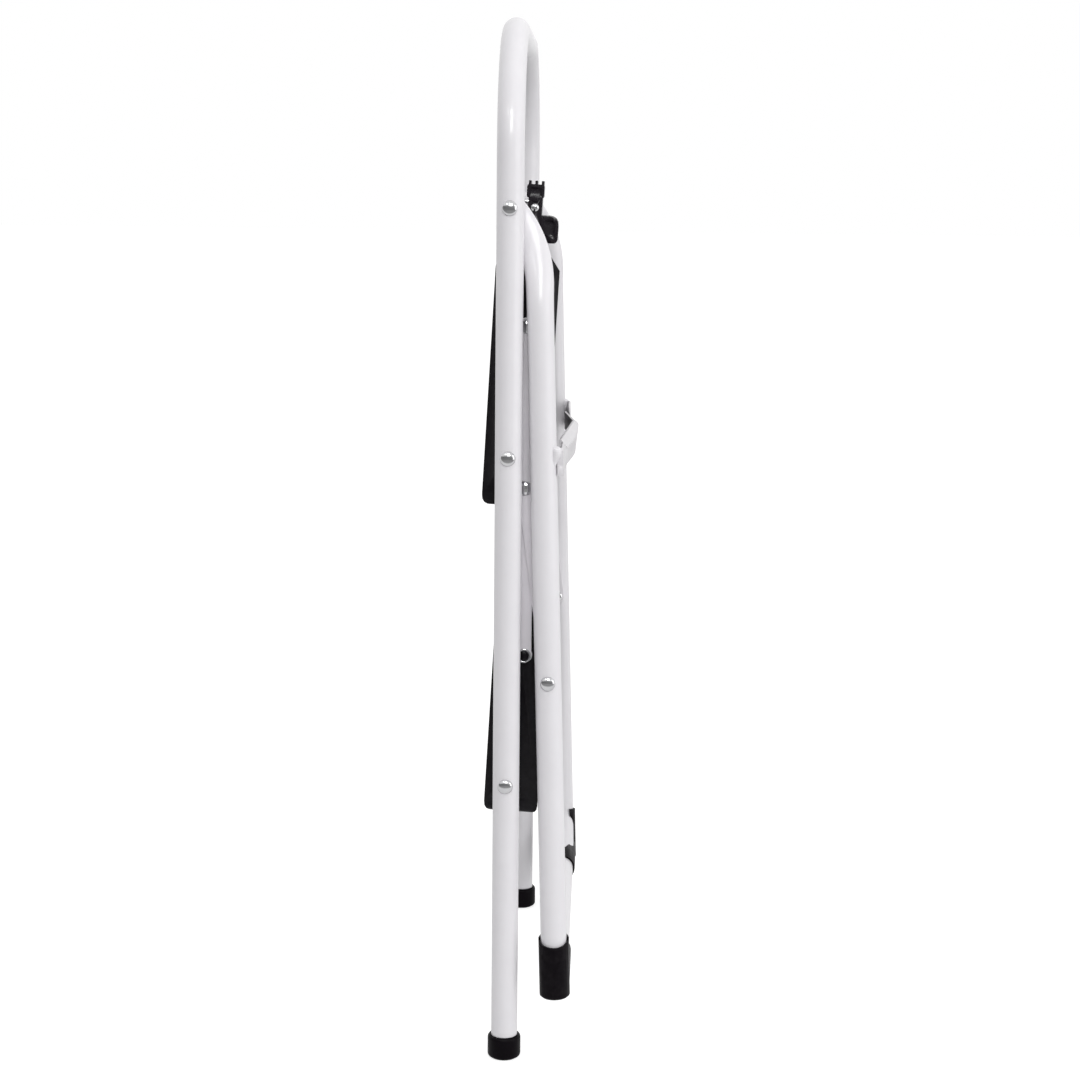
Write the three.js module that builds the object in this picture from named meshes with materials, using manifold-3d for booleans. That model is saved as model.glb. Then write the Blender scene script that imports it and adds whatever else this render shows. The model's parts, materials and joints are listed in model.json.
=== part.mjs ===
// Folding step stool chair, folded flat for storage.
// Millimetres, +Z up, +Y towards the rear legs, +X to the right.
// The front legs and the hand loop are one bent tube. The rear legs and their floor bar are a second one.
// Two treads turn on the front legs and two link bars keep them parallel.
// Two spreader bars tie the links to the rear legs, so that all of them fold together.
// A sprung latch on the upper tread hooks under the rear crossbar when the chair is open.
import * as THREE from "three";
import { mergeVertices } from "three/addons/utils/BufferGeometryUtils.js";
import Module from "manifold-3d";

// Driving dimensions

const gap = 0.3; // clearance between pieces that touch
const overrun = 5; // how far a cutting tool reaches past what it cuts
const merging = 0.0003; // corners of a geometry that are nearer than this are one corner

const front = { halfSpacing: 191, radius: 11.3, wall: 1.3, height: 886, bendRadius: 100 };
const frontFoot = { radius: 14.3, height: 20.5, floor: 4, chamfer: 2.6, sleeve: 1.6 };

// Pivot heights on the front legs, with the chair folded, as shares of its height
const pivotShares = { fold: 0.822, upper: 0.5921, lower: 0.2769 };

const rear = {
  inset: 4, radius: 11.2, wall: 1.3, offset: 22.4, bendRadius: 100, lengthShare: 0.909,
  cornerRadius: 44, endHalfWidth: 11.5, endHalfThickness: 2.5, flattenLength: 92, flattenedHalfWidth: 11.8,
};
const rearLean = 1.8; // degrees between the folded rear legs and the front legs
const shoe = {
  wall: 1.7, rise: 39.5, sleeve: 30, heelChamfer: 1.6, scallopRadius: 15, scallopDepth: 9, clipWidth: 15,
};

const rivet = { shankRadius: 3, headRadius: 6.2, headHeight: 2.7, tailRadius: 5, tailHeight: 2.2 };
const washer = { radius: 7, thickness: 1.1 };
const spacerRadius = 6.6;

const bar = { thickness: 2.5, halfWidth: 6.4, apart: 0.8 };
const link = { pivotAlong: 107.4, pivotBelow: 7.6, midPivotShare: 0.483 };
const spreaderPivotShare = 0.5967; // of the rear leg's length, below the fold pivot

// The bow's shares are of half the rear legs' spacing
const crossbar = {
  height: 24.5, slopeHeight: 6.5, crestFall: 4, sheet: 2, belowTreadPivot: 16.3,
  flatShare: 0.16, bowShare: 0.82, topBow: 10, bottomBow: 7.6, standOff: 3,
  innerShare: 0.6, innerApex: 10, innerRise: 4, tabHeight: 8, tabWidth: 14, tabBeyond: 5,
  keeperWidth: 56, keeperDepth: 11.5,
};

const tread = {
  inset: 24.8, wall: 2.5, noseRadius: 9, heelRadius: 4, toeRadius: 7, cornerRadius: 6,
  ribSheet: 2, ribDepth: 11, bossRadius: 9, bossDepth: 3, heelSkirt: 12, taper: 19, rearWallDepth: 6,
};
const upperTread = { nose: 45, heel: 159, top: 19.3, skirt: 25.5 };
const lowerTread = { nose: 33.5, heel: 150, top: 16.7, skirt: 27.5 };
const mat = { inset: 5, noseInset: 13, thickness: 1, ridgeHeight: 0.8, ridgePitch: 9, ridgeWidth: 5 };
const ribShares = { along: [-0.6, -0.2, 0.2, 0.6], across: [0.25, 0.5, 0.75] };
const foldedTilt = 3.1; // degrees between a folded tread and the front legs

const latch = {
  pivotAlong: 202.5, pivotBelow: 3, pinRadius: 2.4, pinHeadRadius: 3.8, pinHeadHeight: 2.2,
  armHalfWidth: 7, armSheet: 2.4, armLength: 50, armDepth: 10, eyeRadius: 5.2,
  cheek: 3, headStart: 8.4, headLength: 12.2, headBelow: 7.4, headAbove: 8.2,
  gripLength: 3.2, gripWidth: 2.3, gripSpacing: 5.8, neckHalfHeight: 6.4,
  hookBelow: 22, hookTop: 6.4, hookBack: 21, hookReach: 31, lipDepth: 9, lipRise: 5.2, hookRound: 10,
};
const spring = { wire: 1, coilRadius: 3.6, pitch: 1.55, leg: 9 };

// Counts

const turns = {
  tube: 16, cap: 20, pin: 10, washer: 12, bend: 7, corner: 4, coilSides: 6, coilSteps: 9, coils: 3,
};
const domeShares = [0, 0.33, 0.67, 1]; // of a quarter turn, from a dome's rim to its crown

// Derived places

const rad = THREE.MathUtils.degToRad;
const foldPivotHeight = pivotShares.fold * front.height;
const upperPivotHeight = pivotShares.upper * front.height;
const lowerPivotHeight = pivotShares.lower * front.height;
const frontInside = front.halfSpacing - front.radius;
const rearHalfSpacing = front.halfSpacing - rear.inset;
const rearInside = rearHalfSpacing - rear.radius;
const rearLength = rear.lengthShare * foldPivotHeight;
const spreaderPivotDrop = spreaderPivotShare * rearLength;
const crossbarDrop = foldPivotHeight - upperPivotHeight + crossbar.belowTreadPivot;
const treadHalfWidth = front.halfSpacing - tread.inset;
const treadRim = gap + mat.thickness + mat.ridgeHeight; // height of a tread's rim above the field of its mat
const spreaderFace = rearInside - 2 * gap; // the side of a spreader bar that looks at the rear leg
const linkFace = spreaderFace - bar.thickness - bar.apart;
const flatEndCentre = frontInside - gap - washer.thickness - gap - rear.endHalfThickness;
const sides = [["right", 1], ["left", -1]];

const wasm = await Module();
wasm.setup();

// Solids

// A closed three.js geometry as a solid that can be cut and joined.
function solid(geometry) {
  const bare = geometry.clone();
  bare.deleteAttribute("normal");
  bare.deleteAttribute("uv");
  const merged = mergeVertices(bare, merging);
  return new wasm.Manifold(new wasm.Mesh({
    numProp: 3,
    vertProperties: merged.attributes.position.array,
    triVerts: new Uint32Array(merged.index.array),
  }));
}

function geometryOf(manifold) {
  const made = manifold.getMesh();
  const geometry = new THREE.BufferGeometry();
  geometry.setAttribute("position", new THREE.BufferAttribute(new Float32Array(made.vertProperties), 3));
  geometry.setIndex(new THREE.BufferAttribute(new Uint32Array(made.triVerts), 1));
  geometry.computeVertexNormals();
  return geometry;
}

function join(pieces) {
  return pieces.reduce((whole, piece) => whole.add(piece));
}

function cut(body, tools) {
  return tools.reduce((whole, tool) => whole.subtract(tool), body);
}

function box(low, high) {
  const size = new THREE.Vector3(...high).sub(new THREE.Vector3(...low));
  const middle = new THREE.Vector3(...low).addScaledVector(size, 0.5);
  return solid(new THREE.BoxGeometry(size.x, size.y, size.z).translate(middle.x, middle.y, middle.z));
}

// A round bar along X from x0 to x1 at height z and depth y.
function barAlongX(radius, x0, x1, y, z, segments) {
  const cylinder = new THREE.CylinderGeometry(radius, radius, Math.abs(x1 - x0), segments);
  return solid(cylinder.rotateZ(Math.PI / 2).translate((x0 + x1) / 2, y, z));
}

// A revolved profile of [radius, height] points, with its axis along +X on the right and -X on the left.
function revolveAlongX(points, side, segments) {
  const profile = points.map(([r, h]) => new THREE.Vector2(r, h));
  const lathe = new THREE.LatheGeometry(profile, segments).rotateZ(-side * Math.PI / 2);
  return solid(lathe);
}

// A side view, drawn as [along Y, up Z] points, given a width along X and centred on x.
function slab(shape, width, x) {
  return extruded(shape, width, (geometry) => (
    geometry.rotateY(Math.PI / 2).rotateX(Math.PI / 2).translate(x - width / 2, 0, 0)
  ));
}

// A plan view, drawn as [X, Y] points, given a height along Z from z upwards.
function plate(shape, height, z) {
  return extruded(shape, height, (geometry) => geometry.translate(0, 0, z));
}

function extruded(shape, depth, moved) {
  const settings = { depth, bevelEnabled: false, curveSegments: turns.corner };
  return solid(moved(new THREE.ExtrudeGeometry(shape, settings)));
}

// A polygon whose corners are rounded: each corner is [a, b, radius].
function roundedShape(corners) {
  const shape = new THREE.Shape();
  corners.forEach(([a, b, radius], i) => {
    const here = new THREE.Vector2(a, b);
    const back = corners[(i + corners.length - 1) % corners.length];
    const next = corners[(i + 1) % corners.length];
    const toBack = new THREE.Vector2(back[0], back[1]).sub(here);
    const toNext = new THREE.Vector2(next[0], next[1]).sub(here);
    const half = Math.acos(toBack.clone().normalize().dot(toNext.clone().normalize())) / 2;
    const reach = Math.min(radius / Math.tan(half), toBack.length() / 2, toNext.length() / 2);
    const start = here.clone().addScaledVector(toBack.normalize(), reach);
    const end = here.clone().addScaledVector(toNext.normalize(), reach);
    if (i === 0) shape.moveTo(start.x, start.y);
    else shape.lineTo(start.x, start.y);
    if (reach > 0) shape.quadraticCurveTo(here.x, here.y, end.x, end.y);
  });
  shape.closePath();
  return shape;
}

// A loft through stations {centre, across, over, a, b}, capped at both ends.
// Each station is an oval ring of half axes a and b.
function loft(stations, sideCount) {
  const positions = [];
  const faces = [];
  for (const { centre, across, over, a, b } of stations) {
    for (let i = 0; i < sideCount; i += 1) {
      const turn = 2 * Math.PI * i / sideCount;
      const point = centre.clone()
        .addScaledVector(across, a * Math.cos(turn))
        .addScaledVector(over, b * Math.sin(turn));
      positions.push(point.x, point.y, point.z);
    }
  }
  for (let ring = 0; ring + 1 < stations.length; ring += 1) {
    for (let i = 0; i < sideCount; i += 1) {
      const p = ring * sideCount + i;
      const q = ring * sideCount + (i + 1) % sideCount;
      faces.push(p, q, q + sideCount, p, q + sideCount, p + sideCount);
    }
  }
  const last = (stations.length - 1) * sideCount;
  for (let i = 1; i + 1 < sideCount; i += 1) {
    faces.push(0, i + 1, i);
    faces.push(last, last + i, last + i + 1);
  }
  const geometry = new THREE.BufferGeometry();
  geometry.setAttribute("position", new THREE.Float32BufferAttribute(positions, 3));
  geometry.setIndex(faces);
  const made = solid(geometry);
  if (made.volume() > 0) return made;
  geometry.setIndex(faces.slice().reverse());
  return solid(geometry);
}

// Stations of a round tube through corners in the plane across over, with each inner corner bent to a radius.
function bentStations(corners, bendRadius, over, radius) {
  const stations = [];
  const add = (centre, tangent) => {
    stations.push({ centre, across: tangent.clone().cross(over), over, a: radius, b: radius });
  };
  corners.forEach((corner, i) => {
    if (i === 0) {
      add(corner, corners[1].clone().sub(corner).normalize());
      return;
    }
    const arriving = corner.clone().sub(corners[i - 1]).normalize();
    if (i + 1 === corners.length) {
      add(corner, arriving);
      return;
    }
    const leaving = corners[i + 1].clone().sub(corner).normalize();
    const angle = arriving.angleTo(leaving);
    const reach = bendRadius * Math.tan(angle / 2);
    const inward = leaving.clone().sub(arriving).normalize();
    const hub = corner.clone().addScaledVector(inward, bendRadius / Math.cos(angle / 2));
    const start = corner.clone().addScaledVector(arriving, -reach);
    const axis = arriving.clone().cross(leaving).normalize();
    for (let step = 0; step <= turns.bend; step += 1) {
      const turned = angle * step / turns.bend;
      const centre = start.clone().sub(hub).applyAxisAngle(axis, turned).add(hub);
      add(centre, arriving.clone().applyAxisAngle(axis, turned));
    }
  });
  return stations;
}

// Stations with their ovals changed by an amount, and the two ends moved out along the tube.
function grown(stations, amount, ends) {
  return stations.map((station, i) => {
    const centre = station.centre.clone();
    if (i === 0) centre.add(centre.clone().sub(stations[1].centre).setLength(ends));
    if (i + 1 === stations.length) centre.add(centre.clone().sub(stations[i - 1].centre).setLength(ends));
    return { ...station, centre, a: station.a + amount, b: station.b + amount };
  });
}

// Materials

const colours = { paint: 0xe4e3e7, black: 0x17161a, rubber: 0x1b1a1d, bright: 0xd8d8da, zinc: 0xb9b9bd };
const finishes = {
  paint: () => new THREE.MeshStandardMaterial({ color: colours.paint, roughness: 0.28, metalness: 0.1 }),
  black: () => new THREE.MeshStandardMaterial({ color: colours.black, roughness: 0.45, metalness: 0 }),
  rubber: () => new THREE.MeshStandardMaterial({ color: colours.rubber, roughness: 0.65, metalness: 0 }),
  bright: () => new THREE.MeshStandardMaterial({ color: colours.bright, roughness: 0.12, metalness: 1 }),
  zinc: () => new THREE.MeshStandardMaterial({ color: colours.zinc, roughness: 0.3, metalness: 1 }),
};

function piece(name, manifold, finish) {
  const mesh = new THREE.Mesh(geometryOf(manifold), finishes[finish]());
  mesh.name = name;
  return mesh;
}

// Fasteners

// A domed rivet along X, its head on a round tube's crown or a flat face at headAt, its tail behind tailAt.
function rivetSolid(side, headAt, tailAt, tubeRadius) {
  const sink = tubeRadius ? tubeRadius - Math.sqrt(tubeRadius ** 2 - rivet.headRadius ** 2) : 0;
  const base = headAt + gap - sink;
  const dome = [[0, base], [rivet.headRadius, base], ...domePoints(headAt + gap)];
  let head = revolveAlongX(dome, side, turns.pin);
  if (tubeRadius) {
    const seatRadius = tubeRadius + gap;
    const seat = new THREE.CylinderGeometry(seatRadius, seatRadius, 4 * rivet.headRadius, 2 * turns.tube);
    head = head.subtract(solid(seat.rotateX(Math.PI / 2).translate(side * (headAt - tubeRadius), 0, 0)));
  }
  const tailEnd = tailAt - gap - rivet.tailHeight;
  const body = revolveAlongX([
    [0, tailEnd], [rivet.shankRadius, tailEnd], [rivet.tailRadius, tailEnd + rivet.tailHeight / 2],
    [rivet.tailRadius, tailAt - gap], [rivet.shankRadius, tailAt - gap],
    [rivet.shankRadius, headAt + rivet.headHeight / 2], [0, headAt + rivet.headHeight / 2],
  ], side, turns.pin);
  return head.add(body);
}

// Half a rivet: a domed head on a flat face at headAt, with a shank that stops at shankEnd.
function shortRivet(side, headAt, shankEnd) {
  return revolveAlongX([
    [0, shankEnd], [rivet.shankRadius, shankEnd], [rivet.shankRadius, headAt], ...domePoints(headAt),
  ], side, turns.pin);
}

// A dome from its rim at a height to its crown on the axis.
function domePoints(base) {
  return domeShares.map((share) => {
    const turn = share * Math.PI / 2;
    const reach = share === 1 ? 0 : rivet.headRadius * Math.cos(turn);
    return [reach, base + rivet.headHeight * Math.sin(turn)];
  });
}

function place(mesh, y, z) {
  mesh.position.set(0, y, z);
  return mesh;
}

// A ring along X between two faces, with a clear bore for the rivet.
function ringSolid(side, radius, outerFace, innerFace) {
  const bore = rivet.shankRadius + gap;
  return revolveAlongX([
    [bore, innerFace], [radius, innerFace], [radius, outerFace], [bore, outerFace], [bore, innerFace],
  ], side, turns.washer);
}

// Front frame

function frontTube() {
  const half = front.halfSpacing;
  const floor = frontFoot.floor + gap;
  const crown = front.height - front.radius;
  const corners = [[half, floor], [half, crown], [-half, crown], [-half, floor]]
    .map(([x, z]) => new THREE.Vector3(x, 0, z));
  const stations = bentStations(corners, front.bendRadius, new THREE.Vector3(0, 1, 0), front.radius);
  const body = loft(stations, turns.tube).subtract(loft(grown(stations, -front.wall, overrun), turns.tube));
  const holes = [foldPivotHeight, upperPivotHeight, lowerPivotHeight].flatMap((z) => sides.map(([, side]) => {
    const inner = side * (half - front.radius - overrun);
    const outer = side * (half + front.radius + overrun);
    return barAlongX(rivet.shankRadius + gap, inner, outer, 0, z, turns.pin);
  }));
  return cut(body, holes);
}

// A rubber cup on the end of a front leg, with a bevelled mouth and a shallow round recess underneath.
function frontFootSolid() {
  const bore = front.radius + gap;
  const { radius, height, floor, chamfer, sleeve } = frontFoot;
  const points = [
    [0, chamfer / 2], [radius / 3, chamfer / 2], [radius / 3, 0], [radius - chamfer, 0], [radius, chamfer],
    [radius, height - chamfer], [bore + sleeve / 2, height], [bore, height], [bore, floor], [0, floor],
  ];
  const profile = points.map(([r, h]) => new THREE.Vector2(r, h));
  return solid(new THREE.LatheGeometry(profile, turns.cap).rotateX(Math.PI / 2));
}

function buildFrontFrame(chair) {
  chair.add(piece("front_tube", frontTube(), "paint"));
  const flange = treadHalfWidth - tread.wall;
  for (const [label, side] of sides) {
    const foot = piece("front_foot_" + label, frontFootSolid(), "rubber");
    foot.position.set(side * front.halfSpacing, 0, 0);
    chair.add(foot);
    const crown = front.halfSpacing + front.radius;
    const flatInside = flatEndCentre - rear.endHalfThickness;
    const foldRivet = rivetSolid(side, crown, flatInside, front.radius);
    chair.add(place(piece("fold_rivet_" + label, foldRivet, "bright"), 0, foldPivotHeight));
    const washerFace = frontInside - gap;
    const foldWasher = ringSolid(side, washer.radius, washerFace, washerFace - washer.thickness);
    chair.add(place(piece("fold_washer_" + label, foldWasher, "black"), 0, foldPivotHeight));
    for (const [level, z] of [["upper", upperPivotHeight], ["lower", lowerPivotHeight]]) {
      const pivot = rivetSolid(side, crown, flange - tread.bossDepth, front.radius);
      chair.add(place(piece(level + "_tread_rivet_" + label, pivot, "bright"), 0, z));
      const spacer = ringSolid(side, spacerRadius, frontInside - gap, treadHalfWidth + gap);
      chair.add(place(piece(level + "_tread_spacer_" + label, spacer, "black"), 0, z));
    }
  }
}

// Rear frame, drawn in its own axes: origin at the fold pivot, legs straight down, leant back as one group

// How far the upper bend has turned when it reaches the fold pivot.
const upperBend = Math.acos(1 - rear.offset / rear.bendRadius);

// Centre line and section of a rear leg at a distance along it, from the fold pivot downwards.
function legStation(side, along) {
  const arcLength = rear.bendRadius * upperBend;
  const turned = upperBend - Math.min(along, arcLength) / rear.bendRadius;
  const hub = new THREE.Vector2(rear.offset - rear.bendRadius, -rear.bendRadius * Math.sin(upperBend));
  const y = hub.x + rear.bendRadius * Math.cos(turned);
  const z = hub.y + rear.bendRadius * Math.sin(turned) - Math.max(0, along - arcLength);
  const tangent = new THREE.Vector3(0, Math.sin(turned), -Math.cos(turned));
  const ease = THREE.MathUtils.smoothstep(along, rear.endHalfWidth / 2, rear.flattenLength);
  const widening = Math.sin(Math.PI * Math.min(1, Math.max(0, along) / rear.flattenLength)) ** 2;
  const endWidth = THREE.MathUtils.lerp(rear.endHalfWidth, rear.radius, ease);
  const halfWidth = endWidth + widening * (rear.flattenedHalfWidth - rear.radius);
  return {
    centre: new THREE.Vector3(side * THREE.MathUtils.lerp(flatEndCentre, rearHalfSpacing, ease), y, z),
    across: new THREE.Vector3(side, 0, 0),
    over: new THREE.Vector3(side, 0, 0).cross(tangent).multiplyScalar(side),
    a: THREE.MathUtils.lerp(rear.endHalfThickness, rear.radius, ease),
    b: halfWidth,
  };
}

// The rounded end past the fold pivot: the oval narrows as a half circle does.
function endStation(side, share) {
  const station = legStation(side, 0);
  const tangent = station.across.clone().cross(station.over).multiplyScalar(-side);
  const beyond = rear.endHalfWidth * share;
  const narrowed = rear.endHalfWidth * Math.sqrt(1 - share ** 2);
  return { ...station, centre: station.centre.clone().addScaledVector(tangent, beyond), b: narrowed };
}

// Stations from the right leg's end to the floor bar's middle, or for the left side, the other way round.
function rearHalf(side) {
  const endShares = [0.97, 0.85, 0.6, 0.3];
  const shapedShares = [0, 0.14, 0.28, 0.42, 0.56, 0.7, 0.85, 1];
  const shapedLength = Math.max(rear.flattenLength, rear.bendRadius * upperBend);
  const stations = endShares.map((share) => endStation(side, share));
  for (const share of shapedShares) stations.push(legStation(side, share * shapedLength));
  const bend = cornerStations(side, rear.radius);
  return stations.concat(bend);
}

// The corner between a rear leg and the floor bar, from the leg to the bar.
function cornerStations(side, radius) {
  const stations = [];
  for (let step = 0; step <= turns.bend; step += 1) {
    const turned = Math.PI / 2 * step / turns.bend;
    const out = new THREE.Vector3(side * Math.cos(turned), 0, -Math.sin(turned));
    const hub = new THREE.Vector3(
      side * (rearHalfSpacing - rear.cornerRadius), rear.offset, rear.cornerRadius - rearLength,
    );
    stations.push({
      centre: hub.clone().addScaledVector(out, rear.cornerRadius), across: out,
      over: new THREE.Vector3(0, 1, 0), a: radius, b: radius,
    });
  }
  return stations;
}

function rearTube() {
  const right = rearHalf(1);
  const left = rearHalf(-1).reverse();
  const stations = right.concat(left);
  const hollow = stations.filter((station) => station.a > rear.endHalfThickness + 2 * rear.wall);
  const bore = hollow.map((station) => ({
    ...station, a: station.a - rear.wall, b: station.b - rear.wall,
  }));
  const body = loft(stations, turns.tube).subtract(loft(bore, turns.tube));
  const holes = sides.flatMap(([, side]) => {
    const endHole = barAlongX(rivet.shankRadius + gap, side * (flatEndCentre - overrun),
      side * (flatEndCentre + overrun), 0, 0, turns.pin);
    const legHole = barAlongX(rivet.shankRadius + gap, side * (rearInside - overrun),
      side * (rearHalfSpacing + rear.radius + overrun), rear.offset, -spreaderPivotDrop, turns.pin);
    return [endHole, legHole];
  });
  return cut(body, holes);
}

// A moulded shoe on a corner of the floor bar: an upright cup round the leg's end and a sleeve along the bar.
// The cup is filled below the bend and its rim is scalloped on the outside.
// A clip slot runs along the inside of the corner.
function rearShoe(side) {
  const outer = rear.radius + gap + shoe.wall;
  const bottom = -rearLength - outer;
  const top = -rearLength + shoe.rise;
  const { heelChamfer } = shoe;
  const profile = [
    [0, bottom], [outer - heelChamfer, bottom], [outer, bottom + heelChamfer], [outer, top], [0, top],
  ];
  const cup = new THREE.LatheGeometry(profile.map(([r, h]) => new THREE.Vector2(r, h)), turns.cap)
    .rotateX(Math.PI / 2).translate(side * rearHalfSpacing, rear.offset, 0);
  const corner = side * (rearHalfSpacing - rear.cornerRadius);
  const sleeveEnd = corner - side * shoe.sleeve;
  const sleeve = barAlongX(outer, side * rearHalfSpacing, sleeveEnd, rear.offset, -rearLength, turns.cap);
  const bend = cornerStations(side, rear.radius + gap);
  const above = { ...bend[0], centre: bend[0].centre.clone().setZ(top + overrun) };
  const last = bend[turns.bend];
  const beside = { ...last, centre: last.centre.clone().setX(sleeveEnd - side * overrun) };
  const bore = loft([above, ...bend, beside], turns.tube);
  const outside = side * (rearHalfSpacing + outer + overrun);
  const scallopHeight = top + shoe.scallopRadius - shoe.scallopDepth;
  const scallop = barAlongX(
    shoe.scallopRadius, side * rearHalfSpacing, outside, rear.offset, scallopHeight, 2 * turns.tube,
  );
  const clipLow = -rearLength + rear.radius;
  const clipEnds = [sleeveEnd - side * overrun, side * rearHalfSpacing];
  const clip = box([Math.min(...clipEnds), rear.offset - shoe.clipWidth / 2, clipLow],
    [Math.max(...clipEnds), rear.offset + shoe.clipWidth / 2, top + overrun]);
  return cut(solid(cup).add(sleeve), [bore, scallop, clip]);
}

// Where the crossbar's outer web stands at x, in plan: straight by the legs, then bowed out to a flat middle.
function outerLine(x, bow) {
  const flat = crossbar.flatShare * rearHalfSpacing;
  const reach = crossbar.bowShare * rearHalfSpacing;
  const share = 1 - THREE.MathUtils.smoothstep(Math.abs(x), flat, reach);
  return rear.offset + rear.radius + gap + crossbar.standOff + bow * share;
}

// Where the crossbar's inner wall stands at x: a shallow V that meets the outer web in the middle.
function innerLine(x) {
  const reach = crossbar.innerShare * rearHalfSpacing;
  return rear.offset + rear.radius + gap + crossbar.innerApex * (1 - Math.abs(x) / reach);
}

// The places across the crossbar where its outer web has a point in plan.
function crossbarPlaces() {
  const end = rearHalfSpacing + crossbar.tabBeyond;
  const reach = crossbar.bowShare * rearHalfSpacing;
  const places = [-end];
  for (let step = -turns.bend; step <= turns.bend; step += 1) places.push(reach * step / turns.bend);
  return [...places, end];
}

// A sheet between two edges. Each edge has a line in plan, which its front follows, and a height at every x.
function bowedSheet(places, lowEdge, highEdge) {
  const positions = [];
  const faces = [];
  for (const x of places) {
    const [below, low] = [lowEdge.line(x), lowEdge.height(x)];
    const [above, high] = [highEdge.line(x), highEdge.height(x)];
    positions.push(x, below, low, x, below + crossbar.sheet, low);
    positions.push(x, above + crossbar.sheet, high, x, above, high);
  }
  const quad = (a, b, c, d) => faces.push(a, b, c, a, c, d);
  for (let i = 0; i + 1 < places.length; i += 1) {
    for (let edge = 0; edge < 4; edge += 1) {
      const next = (edge + 1) % 4;
      quad(4 * i + edge, 4 * i + 4 + edge, 4 * i + 4 + next, 4 * i + next);
    }
  }
  const last = 4 * (places.length - 1);
  quad(0, 1, 2, 3);
  quad(last + 3, last + 2, last + 1, last);
  const geometry = new THREE.BufferGeometry();
  geometry.setAttribute("position", new THREE.Float32BufferAttribute(positions, 3));
  geometry.setIndex(faces);
  const made = solid(geometry);
  if (made.volume() > 0) return made;
  geometry.setIndex(faces.slice().reverse());
  return solid(geometry);
}

// The tab at an end of the crossbar, which lies against the back of the rear leg.
function crossbarTab(side, bottom) {
  const inside = side * (rearHalfSpacing - crossbar.tabWidth);
  const outside = side * (rearHalfSpacing + crossbar.tabBeyond);
  const back = rear.offset + rear.radius + gap;
  return box([Math.min(inside, outside), back, bottom],
    [Math.max(inside, outside), back + crossbar.standOff + crossbar.sheet / 2, bottom + crossbar.tabHeight]);
}

// The crossbar: an outer web, a slope from its top up to a V, and an inner wall below the V.
// It is highest in the middle, where a notch below lets the latch in.
function rearCrossbar() {
  const bottom = -crossbarDrop;
  const top = bottom + crossbar.height;
  const places = crossbarPlaces();
  const reach = crossbar.innerShare * rearHalfSpacing;
  const end = rearHalfSpacing + crossbar.tabBeyond;
  const crest = (x) => top - crossbar.crestFall * Math.abs(x) / reach;
  const webHeight = (x) => {
    const past = Math.max(0, Math.abs(x) - reach) / (end - reach);
    const shoulder = crest(Math.min(Math.abs(x), reach)) - crossbar.slopeHeight;
    return THREE.MathUtils.lerp(shoulder, bottom + crossbar.tabHeight, past);
  };
  const webTop = { line: (x) => outerLine(x, crossbar.topBow), height: webHeight };
  const webBottom = { line: (x) => outerLine(x, crossbar.bottomBow), height: () => bottom };
  const slopeBottom = { line: webTop.line, height: (x) => webHeight(x) - crossbar.sheet / 2 };
  const wallTop = { line: innerLine, height: crest };
  const wallBottom = { line: innerLine, height: () => bottom + crossbar.innerRise };
  const inReach = [-reach, ...places.filter((x) => Math.abs(x) < reach), reach];
  const web = bowedSheet(places, webBottom, webTop);
  const wall = bowedSheet([-reach, 0, reach], wallBottom, wallTop);
  const slope = bowedSheet(inReach, slopeBottom, wallTop);
  const body = join([web, wall, slope, ...sides.map(([, side]) => crossbarTab(side, bottom))]);
  const keeper = box(
    [-crossbar.keeperWidth / 2, rear.offset, bottom - overrun],
    [crossbar.keeperWidth / 2, rear.offset + 3 * rear.radius, bottom + crossbar.keeperDepth],
  );
  return cut(body, [keeper]);
}

function buildRearFrame(chair) {
  const frame = new THREE.Group();
  frame.position.z = foldPivotHeight;
  frame.rotation.x = rad(rearLean);
  frame.add(piece("rear_tube", rearTube(), "paint"));
  frame.add(piece("rear_crossbar", rearCrossbar(), "paint"));
  for (const [label, side] of sides) {
    frame.add(piece("rear_shoe_" + label, rearShoe(side), "rubber"));
    const crown = rearHalfSpacing + rear.radius;
    const pivot = rivetSolid(side, crown, spreaderFace - bar.thickness, rear.radius);
    frame.add(place(piece("spreader_rivet_" + label, pivot, "bright"), rear.offset, -spreaderPivotDrop));
  }
  chair.add(frame);
}

// Treads, drawn level: origin at the pivot, nose towards -Y, then turned up as one group

// The side view of a tread, as an outline or, shrunk by the wall and open below, as the hollow inside it.
function treadSide({ nose, heel, top, skirt }, inset) {
  const low = inset > 0 ? overrun : 0;
  return roundedShape([
    [inset - nose, top - inset, Math.max(tread.noseRadius - inset, 0)],
    [inset - nose, -skirt - low, inset > 0 ? 0 : tread.toeRadius],
    [heel - inset - tread.taper, -skirt - low, 0],
    [heel - inset, -tread.heelSkirt - low, 0],
    [heel - inset, top - inset, Math.max(tread.heelRadius - inset, 0)],
  ]);
}

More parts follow.
